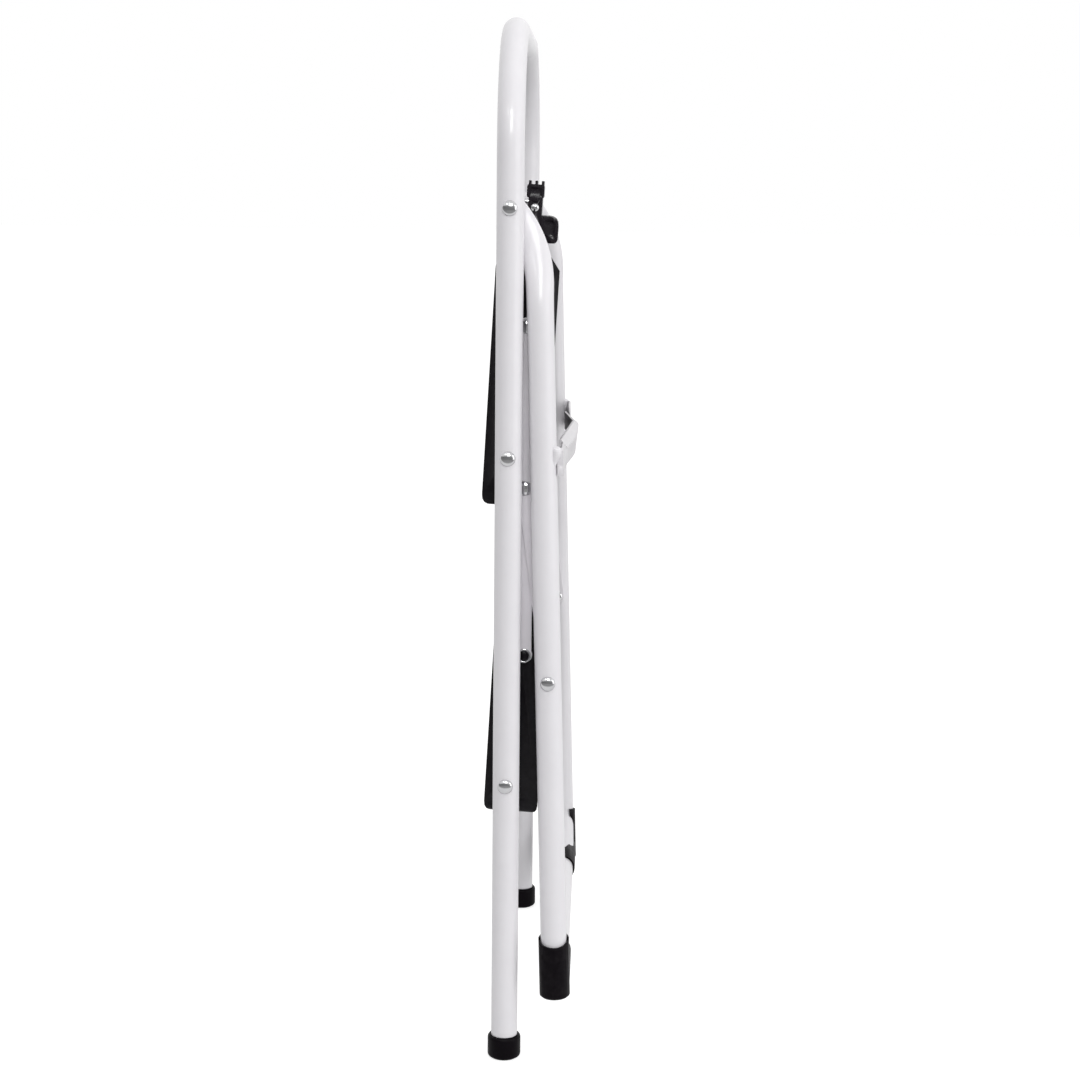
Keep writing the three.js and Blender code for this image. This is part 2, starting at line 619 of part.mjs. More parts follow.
// A moulded tread: a shell open below, with stiffening ribs and thick bosses where the pivots pass.
function treadPan(size, cuts) {
  const { nose, heel, top, skirt } = size;
  const outer = slab(treadSide({ ...size, top: top + treadRim }, 0), 2 * treadHalfWidth, 0);
  const plan = plate(roundedShape([
    [-treadHalfWidth, -nose, tread.cornerRadius], [treadHalfWidth, -nose, tread.cornerRadius],
    [treadHalfWidth, heel, tread.cornerRadius], [-treadHalfWidth, heel, tread.cornerRadius],
  ]), skirt + top + treadRim + 2 * overrun, -skirt - overrun);
  const field = matPlan(size, gap, overrun, top);
  const hollow = slab(treadSide(size, tread.wall), 2 * (treadHalfWidth - tread.wall), 0);
  const rearWindow = box([tread.wall - treadHalfWidth, heel - 2 * tread.wall, -skirt - overrun],
    [treadHalfWidth - tread.wall, heel + overrun, -tread.rearWallDepth]);
  const ceiling = top - tread.wall;
  const longRibs = ribShares.along.map((share) => {
    const x = share * treadHalfWidth;
    return box([x - tread.ribSheet / 2, -nose + tread.wall / 2, ceiling - tread.ribDepth],
      [x + tread.ribSheet / 2, heel - tread.wall / 2, ceiling + tread.wall / 2]);
  });
  const crossRibs = ribShares.across.map((share) => {
    const y = THREE.MathUtils.lerp(-nose, heel, share);
    return box([-treadHalfWidth + tread.wall / 2, y - tread.ribSheet / 2, ceiling - tread.ribDepth],
      [treadHalfWidth - tread.wall / 2, y + tread.ribSheet / 2, ceiling + tread.wall / 2]);
  });
  const inner = treadHalfWidth - tread.wall;
  const pivots = [[0, 0], [link.pivotAlong, -link.pivotBelow]];
  const bosses = sides.flatMap(([, side]) => pivots.map(([y, z]) => {
    const [start, end] = [side * (inner + tread.wall / 2), side * (inner - tread.bossDepth)];
    return barAlongX(tread.bossRadius, start, end, y, z, turns.washer);
  }));
  const holes = pivots.flatMap(([y, z]) => sides.map(([, side]) => {
    const [start, end] = [side * (inner - 2 * overrun), side * (treadHalfWidth + overrun)];
    return barAlongX(rivet.shankRadius + gap, start, end, y, z, turns.pin);
  }));
  const shell = cut(outer.intersect(plan), [field, hollow, rearWindow]);
  return cut(join([shell, ...longRibs, ...crossRibs, ...bosses]), [...holes, ...cuts]);
}

// The plan of a tread's mat, grown by an amount, as a block of a height above z.
function matPlan({ nose, heel }, amount, height, z) {
  const across = treadHalfWidth - mat.inset + amount;
  const start = -nose + mat.noseInset - amount;
  const end = heel - mat.inset + amount;
  return plate(roundedShape([
    [-across, start, tread.cornerRadius], [across, start, tread.cornerRadius],
    [across, end, tread.cornerRadius], [-across, end, tread.cornerRadius],
  ]), height, z);
}

// A ribbed mat in the field on top of a tread: its ridges run from side to side, level with the rim.
function treadMat(size) {
  const { nose, heel } = size;
  const bottom = size.top + gap;
  const top = bottom + mat.thickness;
  const start = -nose + mat.noseInset;
  const end = heel - mat.inset;
  const outline = [[start, bottom], [end, bottom], [end, top]];
  const count = Math.floor((end - start - mat.ridgePitch + mat.ridgeWidth) / mat.ridgePitch);
  const first = (start + end) / 2 + (count - 1) * mat.ridgePitch / 2;
  for (let i = 0; i < count; i += 1) {
    const middle = first - i * mat.ridgePitch;
    const crest = mat.ridgeWidth / 2 - mat.ridgeHeight / 2;
    outline.push([middle + mat.ridgeWidth / 2, top], [middle + crest, top + mat.ridgeHeight]);
    outline.push([middle - crest, top + mat.ridgeHeight], [middle - mat.ridgeWidth / 2, top]);
  }
  outline.push([start, top]);
  const plan = matPlan(size, 0, mat.thickness + mat.ridgeHeight + 2 * overrun, bottom - overrun);
  const shape = new THREE.Shape(outline.map(([y, z]) => new THREE.Vector2(y, z)));
  return slab(shape, 2 * treadHalfWidth, 0).intersect(plan);
}

// The arm that carries the latch: a channel under the tread, bent down to a pair of eyes.
function latchArm({ heel, top: treadTop }) {
  const top = treadTop - tread.wall - gap;
  const y = latch.pivotAlong;
  const z = -latch.pivotBelow;
  const eye = latch.eyeRadius;
  const start = heel - latch.armLength;
  const side = roundedShape([
    [start, top, 0], [y - 2 * eye, top, eye], [y - eye / 2, z + eye, eye / 2], [y + eye, z + eye, eye],
    [y + eye, z - eye, eye], [y - eye, z - eye, eye], [y - 3 * eye, top - latch.armDepth, eye / 2],
    [start, top - latch.armDepth, 0],
  ]);
  const inside = roundedShape([
    [start - overrun, top - latch.armSheet, 0],
    [y - 2 * eye - latch.armSheet, top - latch.armSheet, eye / 2],
    [y - eye / 2 - latch.armSheet, z + eye + gap, 0], [y + 2 * eye, z + eye + gap, 0],
    [y + 2 * eye, z - 2 * eye, 0], [start - overrun, z - 2 * eye, 0],
  ]);
  const body = slab(side, 2 * latch.armHalfWidth, 0)
    .subtract(slab(inside, 2 * (latch.armHalfWidth - latch.armSheet), 0));
  const reach = latch.armHalfWidth + overrun;
  return body.subtract(barAlongX(latch.pinRadius + gap, -reach, reach, y, z, turns.pin));
}

// The latch lever: ribbed grip, two cheeks that straddle the arm, and a hook that reaches under the crossbar.
function latchLever() {
  const y = latch.pivotAlong;
  const z = -latch.pivotBelow;
  const inner = latch.armHalfWidth + gap;
  const width = 2 * (inner + latch.cheek);
  const headStart = y + latch.headStart;
  const headEnd = headStart + latch.headLength;
  const head = slab(roundedShape([
    [headStart, z - latch.headBelow, latch.gripWidth], [headEnd, z - latch.headBelow, latch.gripWidth],
    [headEnd, z + latch.headAbove, latch.gripWidth], [headStart, z + latch.headAbove, latch.gripWidth],
  ]), width, 0);
  const grips = [-1, 0, 1].map((step) => z + step * latch.gripSpacing).map((middle) => slab(roundedShape([
    [headEnd - latch.gripWidth, middle - latch.gripWidth / 2, 0],
    [headEnd + latch.gripLength, middle - latch.gripWidth / 2, latch.gripWidth / 3],
    [headEnd + latch.gripLength, middle + latch.gripWidth / 2, latch.gripWidth / 3],
    [headEnd - latch.gripWidth, middle + latch.gripWidth / 2, 0],
  ]), width, 0));
  const neck = slab(roundedShape([
    [y - latch.hookBack, z - latch.neckHalfHeight, 0],
    [headStart + latch.gripWidth, z - latch.neckHalfHeight, 0],
    [headStart + latch.gripWidth, z + latch.neckHalfHeight, 0],
    [y - latch.hookBack, z + latch.neckHalfHeight, latch.gripWidth],
  ]), width, 0);
  const bottom = z - latch.hookBelow;
  const hook = slab(roundedShape([
    [y - latch.hookTop, z - latch.neckHalfHeight + latch.gripWidth, 0],
    [y - latch.hookTop, bottom, latch.hookRound],
    [y - latch.hookReach, bottom, latch.hookRound],
    [y - latch.hookReach, bottom + latch.lipDepth, latch.hookRound / 6],
    [y - latch.hookBack, bottom + latch.lipDepth + latch.lipRise, 0],
    [y - latch.hookBack, z - latch.neckHalfHeight + latch.gripWidth, 0],
  ]), width, 0);
  const straddle = slab(roundedShape([
    [y - 2 * latch.hookBack, z - latch.eyeRadius - 2 * gap, 0],
    [headStart, z - latch.eyeRadius - 2 * gap, 0],
    [headStart, z + 2 * latch.headAbove, 0], [y - 2 * latch.hookBack, z + 2 * latch.headAbove, 0],
  ]), 2 * inner, 0);
  const hole = barAlongX(latch.pinRadius + gap, -width, width, y, z, turns.pin);
  return cut(join([head, ...grips, neck, hook]), [straddle, hole]);
}

// The pin that the lever turns on, with a domed head at each end.
function latchPin() {
  const reach = latch.armHalfWidth + gap + latch.cheek + gap;
  const dome = domeShares.map((share) => {
    const turn = share * Math.PI / 2;
    const radius = share === 1 ? 0 : latch.pinHeadRadius * Math.cos(turn);
    return [radius, reach + latch.pinHeadHeight * Math.sin(turn)];
  });
  const half = [[latch.pinRadius, reach], ...dome];
  const mirrored = half.map(([r, h]) => [r, -h]).reverse();
  return revolveAlongX([...mirrored, ...half], 1, turns.pin);
}

// The middle line of the spring's wire: wound round the pin, with a straight leg at each end.
function springPath() {
  const start = -spring.pitch * turns.coils / 2;
  const points = [];
  const steps = turns.coils * turns.coilSteps;
  for (let step = 0; step <= steps; step += 1) {
    const turned = 2 * Math.PI * step / turns.coilSteps;
    points.push(new THREE.Vector3(start + spring.pitch * step / turns.coilSteps,
      spring.coilRadius * Math.sin(turned), spring.coilRadius * Math.cos(turned)));
  }
  const first = points[0].clone().add(new THREE.Vector3(0, -spring.leg, 0));
  const last = points[steps].clone().add(new THREE.Vector3(0, spring.leg / 2, 0));
  return [first, ...points, last];
}

// The torsion spring on the pin, one unbroken wire.
function latchSpring() {
  const wire = spring.wire / 2;
  const path = springPath();
  const stations = path.map((centre, i) => {
    const before = path[Math.max(0, i - 1)];
    const after = path[Math.min(path.length - 1, i + 1)];
    const tangent = after.clone().sub(before).normalize();
    const over = new THREE.Vector3(1, 0, 0).addScaledVector(tangent, -tangent.x).normalize();
    return { centre, across: tangent.clone().cross(over), over, a: wire, b: wire };
  });
  return loft(stations, turns.coilSides);
}

// The least gap between the spring's wire and itself, measured between points half a turn apart or more.
function springGap() {
  const path = springPath();
  const apart = Math.ceil(turns.coilSteps / 2);
  const distances = path.flatMap((point, i) => path.slice(i + apart).map((other) => point.distanceTo(other)));
  return Math.min(...distances) - spring.wire;
}
console.log("latch spring: least gap between turns " + springGap().toFixed(2) + " mm");

function buildTread(chair, level, size, pivotHeight, pan) {
  const group = new THREE.Group();
  group.position.z = pivotHeight;
  group.rotation.x = rad(90 - foldedTilt);
  group.add(piece(level + "_tread_pan", pan, "black"));
  group.add(piece(level + "_tread_mat", treadMat(size), "rubber"));
  const finish = level === "upper" ? "bright" : "black";
  for (const [label, side] of sides) {
    const inside = treadHalfWidth - tread.wall - tread.bossDepth;
    const pivot = rivetSolid(side, linkFace, inside, 0);
    group.add(place(piece(level + "_link_rivet_" + label, pivot, finish), link.pivotAlong, -link.pivotBelow));
    const ring = ringSolid(side, washer.radius, linkFace - bar.thickness - gap, treadHalfWidth + gap);
    group.add(place(piece(level + "_link_washer_" + label, ring, "zinc"), link.pivotAlong, -link.pivotBelow));
  }
  chair.add(group);
  return group;
}

function buildTreads(chair) {
  const ceiling = upperTread.top - tread.wall;
  const passage = latch.armHalfWidth + 2 * gap;
  const armStart = upperTread.heel - latch.armLength - gap;
  const armWay = box([-passage, armStart, ceiling - tread.ribDepth - overrun],
    [passage, upperTread.heel + overrun, ceiling]);
  const upperPan = treadPan(upperTread, [armWay]);
  const upper = buildTread(chair, "upper", upperTread, upperPivotHeight, upperPan);
  upper.add(piece("latch_arm", latchArm(upperTread), "black"));
  upper.add(piece("latch_lever", latchLever(), "black"));
  upper.add(place(piece("latch_pin", latchPin(), "bright"), latch.pivotAlong, -latch.pivotBelow));
  upper.add(place(piece("latch_spring", latchSpring(), "zinc"), latch.pivotAlong, -latch.pivotBelow));
  buildTread(chair, "lower", lowerTread, lowerPivotHeight, treadPan(lowerTread, []));
}

// Link and spreader bars, cut from flat strip

// Where a pivot on a folded tread lies, seen from the side, as [Y, Z].
function onFoldedTread(pivotHeight, along, below) {
  const tilt = rad(foldedTilt);
  return new THREE.Vector2(
    along * Math.sin(tilt) + below * Math.cos(tilt),
    pivotHeight + along * Math.cos(tilt) - below * Math.sin(tilt),
  );
}

// A flat bar with round ends between two pivots, its outer face at face, with extra holes along it.
function flatBar(side, face, from, to, between) {
  const run = to.clone().sub(from);
  const length = run.length();
  const shape = new THREE.Shape();
  shape.absarc(0, 0, bar.halfWidth, Math.PI / 2, 3 * Math.PI / 2, false);
  shape.absarc(length, 0, bar.halfWidth, -Math.PI / 2, Math.PI / 2, false);
  shape.closePath();
  const centre = side * (face - bar.thickness / 2);
  const body = slab(shape, bar.thickness, centre);
  const holes = [0, length, ...between].map((along) => (
    barAlongX(rivet.shankRadius + gap, centre - bar.thickness, centre + bar.thickness, along, 0, turns.pin)
  ));
  const made = piece("", cut(body, holes), "paint");
  made.position.set(0, from.x, from.y);
  made.rotation.x = Math.atan2(run.y, run.x);
  return made;
}

function buildBars(chair) {
  const upperEnd = onFoldedTread(upperPivotHeight, link.pivotAlong, link.pivotBelow);
  const lowerEnd = onFoldedTread(lowerPivotHeight, link.pivotAlong, link.pivotBelow);
  const midPivotDrop = link.midPivotShare * (upperPivotHeight - lowerPivotHeight);
  const middle = upperEnd.clone().add(new THREE.Vector2(0, -midPivotDrop));
  const lean = rad(rearLean);
  const rearEnd = new THREE.Vector2(
    rear.offset * Math.cos(lean) + spreaderPivotDrop * Math.sin(lean),
    foldPivotHeight + rear.offset * Math.sin(lean) - spreaderPivotDrop * Math.cos(lean),
  );
  for (const [label, side] of sides) {
    const linkBar = flatBar(side, linkFace, upperEnd, lowerEnd, [midPivotDrop]);
    linkBar.name = "link_bar_" + label;
    chair.add(linkBar);
    const spreader = flatBar(side, spreaderFace, middle, rearEnd, []);
    spreader.name = "spreader_bar_" + label;
    chair.add(spreader);
    // The middle rivet is in two parts, because the head turns with the spreader and the tail with the link
    const head = shortRivet(side, spreaderFace + gap, spreaderFace - bar.thickness);
    chair.add(place(piece("middle_rivet_" + label, head, "bright"), middle.x, middle.y));
    const tail = shortRivet(-side, -linkFace + bar.thickness + gap, -linkFace);
    chair.add(place(piece("middle_rivet_tail_" + label, tail, "zinc"), middle.x, middle.y));
  }
}

const chair = new THREE.Group();
buildFrontFrame(chair);
buildRearFrame(chair);
buildTreads(chair);
buildBars(chair);

// The origin lies on the floor, midway between the foremost and the rearmost points
const bounds = new THREE.Box3().setFromObject(chair, true);
chair.position.y = -(bounds.min.y + bounds.max.y) / 2;

export default chair;
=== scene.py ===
"""Looks of the folding step stool chair, folded flat, dressed over its solid model."""
import json
import math

import bmesh
import bpy
from mathutils import Matrix, Vector
from mathutils.bvhtree import BVHTree


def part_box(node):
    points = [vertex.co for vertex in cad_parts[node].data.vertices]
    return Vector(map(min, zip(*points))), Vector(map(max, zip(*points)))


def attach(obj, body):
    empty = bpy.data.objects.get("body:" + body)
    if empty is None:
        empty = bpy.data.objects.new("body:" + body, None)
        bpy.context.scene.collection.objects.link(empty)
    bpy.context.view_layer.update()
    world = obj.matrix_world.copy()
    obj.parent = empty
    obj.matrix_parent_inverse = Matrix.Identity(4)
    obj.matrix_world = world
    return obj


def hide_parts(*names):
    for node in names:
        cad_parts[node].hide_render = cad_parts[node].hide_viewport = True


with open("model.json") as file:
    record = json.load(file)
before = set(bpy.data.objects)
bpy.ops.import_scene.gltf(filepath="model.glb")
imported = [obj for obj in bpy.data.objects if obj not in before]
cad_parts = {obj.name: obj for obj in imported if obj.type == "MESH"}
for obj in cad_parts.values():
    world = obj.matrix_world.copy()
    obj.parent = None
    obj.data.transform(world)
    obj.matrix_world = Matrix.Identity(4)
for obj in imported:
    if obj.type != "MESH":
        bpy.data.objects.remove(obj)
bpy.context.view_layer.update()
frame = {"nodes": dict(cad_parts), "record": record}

MM = 0.001

# Sizes that the pieces share, in millimetres and degrees

FRONT = {"radius": 11.3, "wall": 1.3, "bend": 100, "floor": 4.3}
FOOT = {"radius": 14.3, "bore": 11.6, "height": 20.5, "floor": 4, "chamfer": 2.6}
REAR = {
    "inset": 4, "radius": 11.2, "wall": 1.3, "offset": 22.4, "bend": 100, "length": 662.017, "corner": 44,
    "end_half_width": 11.5, "end_half_thickness": 2.5, "flatten": 92, "flat_half_width": 11.8,
}
REAR_LEAN = 1.8  # of the folded rear legs against the front legs
TREAD_TURN = 86.9  # of a folded tread, from level
TREAD_HALF = 166.2
TREAD_WALL = 2.5
TREAD_BOSS = 3
GAP = 0.3  # between pieces that touch
WASHER = {"radius": 7, "thickness": 1.1}
SPACER_RADIUS = 6.6
BAR = {"thickness": 2.5, "half_width": 6.4, "apart": 0.8}
RIVET = {"shank": 3, "head": 6.2, "rise": 2.7, "tail": 5, "tail_height": 2.2}
MAT = {
    "inset": 5, "nose_inset": 13, "thickness": 1, "ridge": 0.8, "pitch": 9, "width": 5, "corner": 6,
    "lip": 0.8, "lip_fall": 0.35,
}
TREADS = {"upper": {"nose": 45, "heel": 159, "top": 19.3}, "lower": {"nose": 33.5, "heel": 150, "top": 16.7}}
LATCH = {
    "along": 202.5, "below": 3, "arm_half": 7, "cheek": 3, "pin": 2.4, "pin_head": 3.8, "pin_rise": 2.2,
    "wire": 1, "coil": 3.6, "pitch": 1.55, "leg": 9, "coils": 3,
}
CROSSBAR = {"below_tread": 16.3, "stand_off": 3, "bow": 10, "flat_share": 0.16, "bow_share": 0.82}
# The crossbar's raised ends: places across the chair, and heights above its bottom edge
SHOULDER = {
    "outer": 191.5, "full": 150, "inner": 113, "low": 6.5, "high": 23.2, "fall": 9.5,
    "end_start": 188, "end_fall": 1.6, "lap_start": 186, "lap_end": 189, "lap": 3.1,
}
# The weld's place across, behind and above, and how it swells at its blunt top and tapers below
WELD = {
    "across": 191.3, "behind": 22.9, "top": 534.2, "length": 18, "half_width": 4.6, "half_depth": 4.3,
    "blunt_share": 0.2, "taper_share": 0.3, "taper": 0.45, "sink": 3.2, "ripple": 0.03, "ripple_turn": 1.9,
}
TUBE_SIDES = 56
ROUND_SIDES = 48
LEG_STEPS = 24
LOOP_BEND_STEPS = 32
SHAPED_STEPS = 36
STRAIGHT_STEPS = 12
CORNER_STEPS = 22
SAME_PLACE = 0.00002  # corners nearer than this, in metres, are one corner
SHORTEST_EDGE = 0.3
STRAY_SHARE = 1.2  # of the easing's width: how far an eased point may lie from the solid
SIDES = (("right", 1), ("left", -1))

bodies = frame["record"]["behaviour"]["bodies"]
body_of = {node: body for body, members in bodies.items() for node in members}
front_low, front_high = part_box("front_tube")
FRONT_Y = (front_low.y + front_high.y) / 2 / MM
FRONT_HALF = front_high.x / MM - FRONT["radius"]
FRONT_TOP = front_high.z / MM
REAR_HALF = FRONT_HALF - REAR["inset"]
FRONT_INSIDE = FRONT_HALF - FRONT["radius"]
SPREADER_FACE = REAR_HALF - REAR["radius"] - 2 * GAP
LINK_FACE = SPREADER_FACE - BAR["thickness"] - BAR["apart"]
FLAT_END = FRONT_INSIDE - GAP - WASHER["thickness"] - GAP - REAR["end_half_thickness"]


def axis_of(node):
    """Where the axis of a node that is round about X stands, as (y, z) in millimetres."""
    low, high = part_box(node)
    return (low.y + high.y) / 2 / MM, (low.z + high.z) / 2 / MM


FOLD_AXIS = axis_of("fold_rivet_right")


# Meshes


def new_piece(name, mesh, slot, material, *nodes, body=None):
    """A named piece that rides on its nodes' body and stands for them."""
    piece = bpy.data.objects.new(name, mesh)
    bpy.context.scene.collection.objects.link(piece)
    mesh.materials.clear()
    mesh.materials.append(material)
    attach(piece, body or body_of[nodes[0]])
    if nodes:
        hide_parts(*nodes)
    return piece


def spaced(start, end, count):
    return [start + (end - start) * i / (count - 1) for i in range(count)]


def ease_between(value, low, high):
    """A smooth rise from 0 at low to 1 at high."""
    share = min(1, max(0, (value - low) / (high - low)))
    return share * share * (3 - 2 * share)


def smooth(mesh, degrees=35):
    for face in mesh.polygons:
        face.use_smooth = True
    mesh.set_sharp_from_angle(angle=math.radians(degrees))


def mesh_of(form, name, degrees=35, place=None):
    """A mesh from a bmesh drawn in millimetres, with its faces turned outwards."""
    if place:
        bmesh.ops.transform(form, matrix=place, verts=form.verts)
    bmesh.ops.scale(form, vec=(MM, MM, MM), verts=form.verts)
    bmesh.ops.recalc_face_normals(form, faces=form.faces)
    mesh = bpy.data.meshes.new(name)
    form.to_mesh(mesh)
    form.free()
    smooth(mesh, degrees)
    return mesh


def skin(form, rings, closed=False):
    """Quads between rings of points, capped at both ends unless the rings run in a loop."""
    rows = [[form.verts.new(point) for point in ring] for ring in rings]
    count = len(rows[0])
    pairs = list(zip(rows, rows[1:]))
    if closed:
        pairs.append((rows[-1], rows[0]))
    for a, b in pairs:
        for i in range(count):
            j = (i + 1) % count
            form.faces.new((a[i], a[j], b[j], b[i]))
    if not closed:
        form.faces.new(rows[0])
        form.faces.new(list(reversed(rows[-1])))


def oval(station, grow=0.0, sides=TUBE_SIDES):
    """The ring of points of a station (centre, across, over, half width, half height)."""
    centre, across, over, a, b = station
    points = []
    for i in range(sides):
        turn = 2 * math.pi * i / sides
        points.append(centre + across * ((a + grow) * math.cos(turn)) + over * ((b + grow) * math.sin(turn)))
    return points


def turned_on_x(name, profile, side, y, z, seat=0, sides=ROUND_SIDES, degrees=35):
    """A profile of (radius, height) points turned about an axis along X, closed on itself.

    A point with a third entry follows a round tube of radius seat, so that it lies on the tube all round.
    """
    form = bmesh.new()
    rows = []
    for radius, height, *on_tube in profile:
        if radius == 0:
            rows.append([form.verts.new((side * height, y, z))])
            continue
        row = []
        for i in range(sides):
            turn = 2 * math.pi * i / sides
            across, up = radius * math.cos(turn), radius * math.sin(turn)
            sunk = seat - math.sqrt(seat ** 2 - across ** 2) if on_tube else 0
            row.append(form.verts.new((side * (height - sunk), y + across, z + up)))
        rows.append(row)
    loops = list(zip(rows, rows[1:]))
    if len(rows[0]) > 1 or len(rows[-1]) > 1:
        loops.append((rows[-1], rows[0]))
    for a, b in loops:
        for i in range(sides):
            j = (i + 1) % sides
            corners = list(dict.fromkeys([a[i % len(a)], a[j % len(a)], b[j % len(b)], b[i % len(b)]]))
            if len(corners) > 2:
                form.faces.new(corners)
    return mesh_of(form, name, degrees)


def rounded_corners(points, radius, steps=4):
    """A closed profile of (a, b) points with each corner rounded."""
    rounded = []
    count = len(points)
    for i, point in enumerate(points):
        here = Vector(point)
        back = Vector(points[i - 1]) - here
        ahead = Vector(points[(i + 1) % count]) - here
        reach = min(radius, back.length / 2.2, ahead.length / 2.2)
        start = here + back.normalized() * reach
        end = here + ahead.normalized() * reach
        for step in range(steps + 1):
            share = step / steps
            rounded.append(start * (1 - share) ** 2 + here * (2 * share * (1 - share)) + end * share ** 2)
    return [(p.x, p.y) for p in rounded]


def bevelled(source, width, spared, segments, degrees):
    """A bmesh of a mesh with its sharp edges rounded, apart from those near the spared points."""
    form = bmesh.new()
    form.from_mesh(source)
    bmesh.ops.remove_doubles(form, verts=form.verts, dist=SAME_PLACE)
    bmesh.ops.join_triangles(form, faces=form.faces, angle_face_threshold=math.radians(1),
                             angle_shape_threshold=math.pi, cmp_sharp=False, cmp_materials=False)
    sharp = []
    for edge in form.edges:
        if len(edge.link_faces) != 2 or edge.calc_face_angle(0) < math.radians(degrees):
            continue
        middle = (edge.verts[0].co + edge.verts[1].co) / 2
        if edge.calc_length() < SHORTEST_EDGE * MM or any((middle - point).length < reach for point, reach in spared):
            continue
        sharp.append(edge)
    bmesh.ops.bevel(form, geom=sharp, offset=width * MM, offset_type="OFFSET", segments=segments, profile=0.5,
                    affect="EDGES", clamp_overlap=True, miter_outer="ARC")
    return form


def eased(node, width, segments=2, degrees=30, cuts=()):
    """A copy of a solid's mesh with its sharp edges rounded to a small radius.

    Where the rounding throws a point clear of the old surface, the edges round that point stay sharp.
    """
    source = frame["nodes"][node].data
    if cuts:
        source = carved(source, cuts)
    surface = bmesh.new()
    surface.from_mesh(source)
    tree = BVHTree.FromBMesh(surface)
    spared = []
    for attempt in range(6):
        form = bevelled(source, width, spared, segments, degrees)
        strays = [v.co.copy() for v in form.verts if tree.find_nearest(v.co)[3] > STRAY_SHARE * width * MM]
        if not strays:
            break
        reach = 3 * (1 + attempt) * MM
        spared += [(point, reach) for point in strays]
        spared += [(tree.find_nearest(point)[0], reach) for point in strays]
        form.free()
    else:
        form = bevelled(source, width / 4, spared, segments, degrees)
    surface.free()
    bmesh.ops.triangulate(form, faces=[f for f in form.faces if len(f.verts) > 4])
    bmesh.ops.recalc_face_normals(form, faces=form.faces)
    mesh = bpy.data.meshes.new(node + "_eased")
    form.to_mesh(mesh)
    form.free()
    smooth(mesh, 40)
    return mesh


def carved(source, tools):
    """A mesh with closed tool meshes cut out of it."""
    body = bpy.data.objects.new("carving", source.copy())
    bpy.context.scene.collection.objects.link(body)
    cutters = []
    for tool in tools:
        cutter = bpy.data.objects.new("cutter", tool)
        bpy.context.scene.collection.objects.link(cutter)
        cutters.append(cutter)
        step = body.modifiers.new("cut", "BOOLEAN")
        step.operation = "DIFFERENCE"
        step.solver = "EXACT"
        step.object = cutter
    depsgraph = bpy.context.evaluated_depsgraph_get()
    made = bpy.data.meshes.new_from_object(body.evaluated_get(depsgraph))
    for spent in [body, *cutters]:
        bpy.data.objects.remove(spent)
    return made


# Shared effects


def group(name, inputs, outputs):
    tree = bpy.data.node_groups.new(name, "ShaderNodeTree")
    for label, kind, value in inputs:
        socket = tree.interface.new_socket(label, in_out="INPUT", socket_type=kind)
        socket.default_value = value
    for label, kind in outputs:
        tree.interface.new_socket(label, in_out="OUTPUT", socket_type=kind)
    return tree, tree.nodes.new("NodeGroupInput"), tree.nodes.new("NodeGroupOutput")


def link(tree, source, target):
    tree.links.new(source, target)


def maths(tree, operation, a, b=None, clamp=False):
    node = tree.nodes.new("ShaderNodeMath")
    node.operation = operation
    node.use_clamp = clamp
    for socket, value in zip(node.inputs, (a, b)):
        if value is None:
            continue
        if isinstance(value, (int, float)):
            socket.default_value = value
        else:
            link(tree, value, socket)
    return node.outputs[0]


def noise(tree, scale, detail=3.0, roughness=0.5, stretch=None):
    """Noise laid out in the object's own coordinates."""
    coordinates = tree.nodes.new("ShaderNodeTexCoord")
    source = coordinates.outputs["Object"]
    if stretch:
        mapping = tree.nodes.new("ShaderNodeMapping")
        mapping.inputs["Scale"].default_value = stretch
        link(tree, source, mapping.inputs["Vector"])
        source = mapping.outputs["Vector"]
    texture = tree.nodes.new("ShaderNodeTexNoise")
    texture.inputs["Scale"].default_value = scale
    texture.inputs["Detail"].default_value = detail
    texture.inputs["Roughness"].default_value = roughness
    link(tree, source, texture.inputs["Vector"])
    return texture.outputs["Fac"]


def ramp(tree, source, low, high):
    node = tree.nodes.new("ShaderNodeMapRange")
    node.inputs["From Min"].default_value = low
    node.inputs["From Max"].default_value = high
    node.clamp = True
    link(tree, source, node.inputs["Value"])
    return node.outputs["Result"]


def mix_colour(tree, factor, a, b):
    node = tree.nodes.new("ShaderNodeMix")
    node.data_type = "RGBA"
    for socket, value in ((node.inputs[0], factor), (node.inputs[6], a), (node.inputs[7], b)):
        if isinstance(value, (int, float, tuple)):
            socket.default_value = value
        else:
            link(tree, value, socket)
    return node.outputs[2]


def handling_marks():
    """Faint smudges and hairline scratches from handling, as a mask and a height."""
    tree, given, made = group(
        "handling_marks",
        [("Amount", "NodeSocketFloat", 0.5)],
        [("Smudge", "NodeSocketFloat"), ("Scratch", "NodeSocketFloat")],
    )
    smudge = ramp(tree, noise(tree, 38, 4, 0.6), 0.42, 0.72)
    scratch = ramp(tree, noise(tree, 90, 2, 0.7, stretch=(9, 9, 0.7)), 0.66, 0.74)
    link(tree, maths(tree, "MULTIPLY", smudge, given.outputs["Amount"]), made.inputs["Smudge"])
    link(tree, maths(tree, "MULTIPLY", scratch, given.outputs["Amount"]), made.inputs["Scratch"])
    return tree


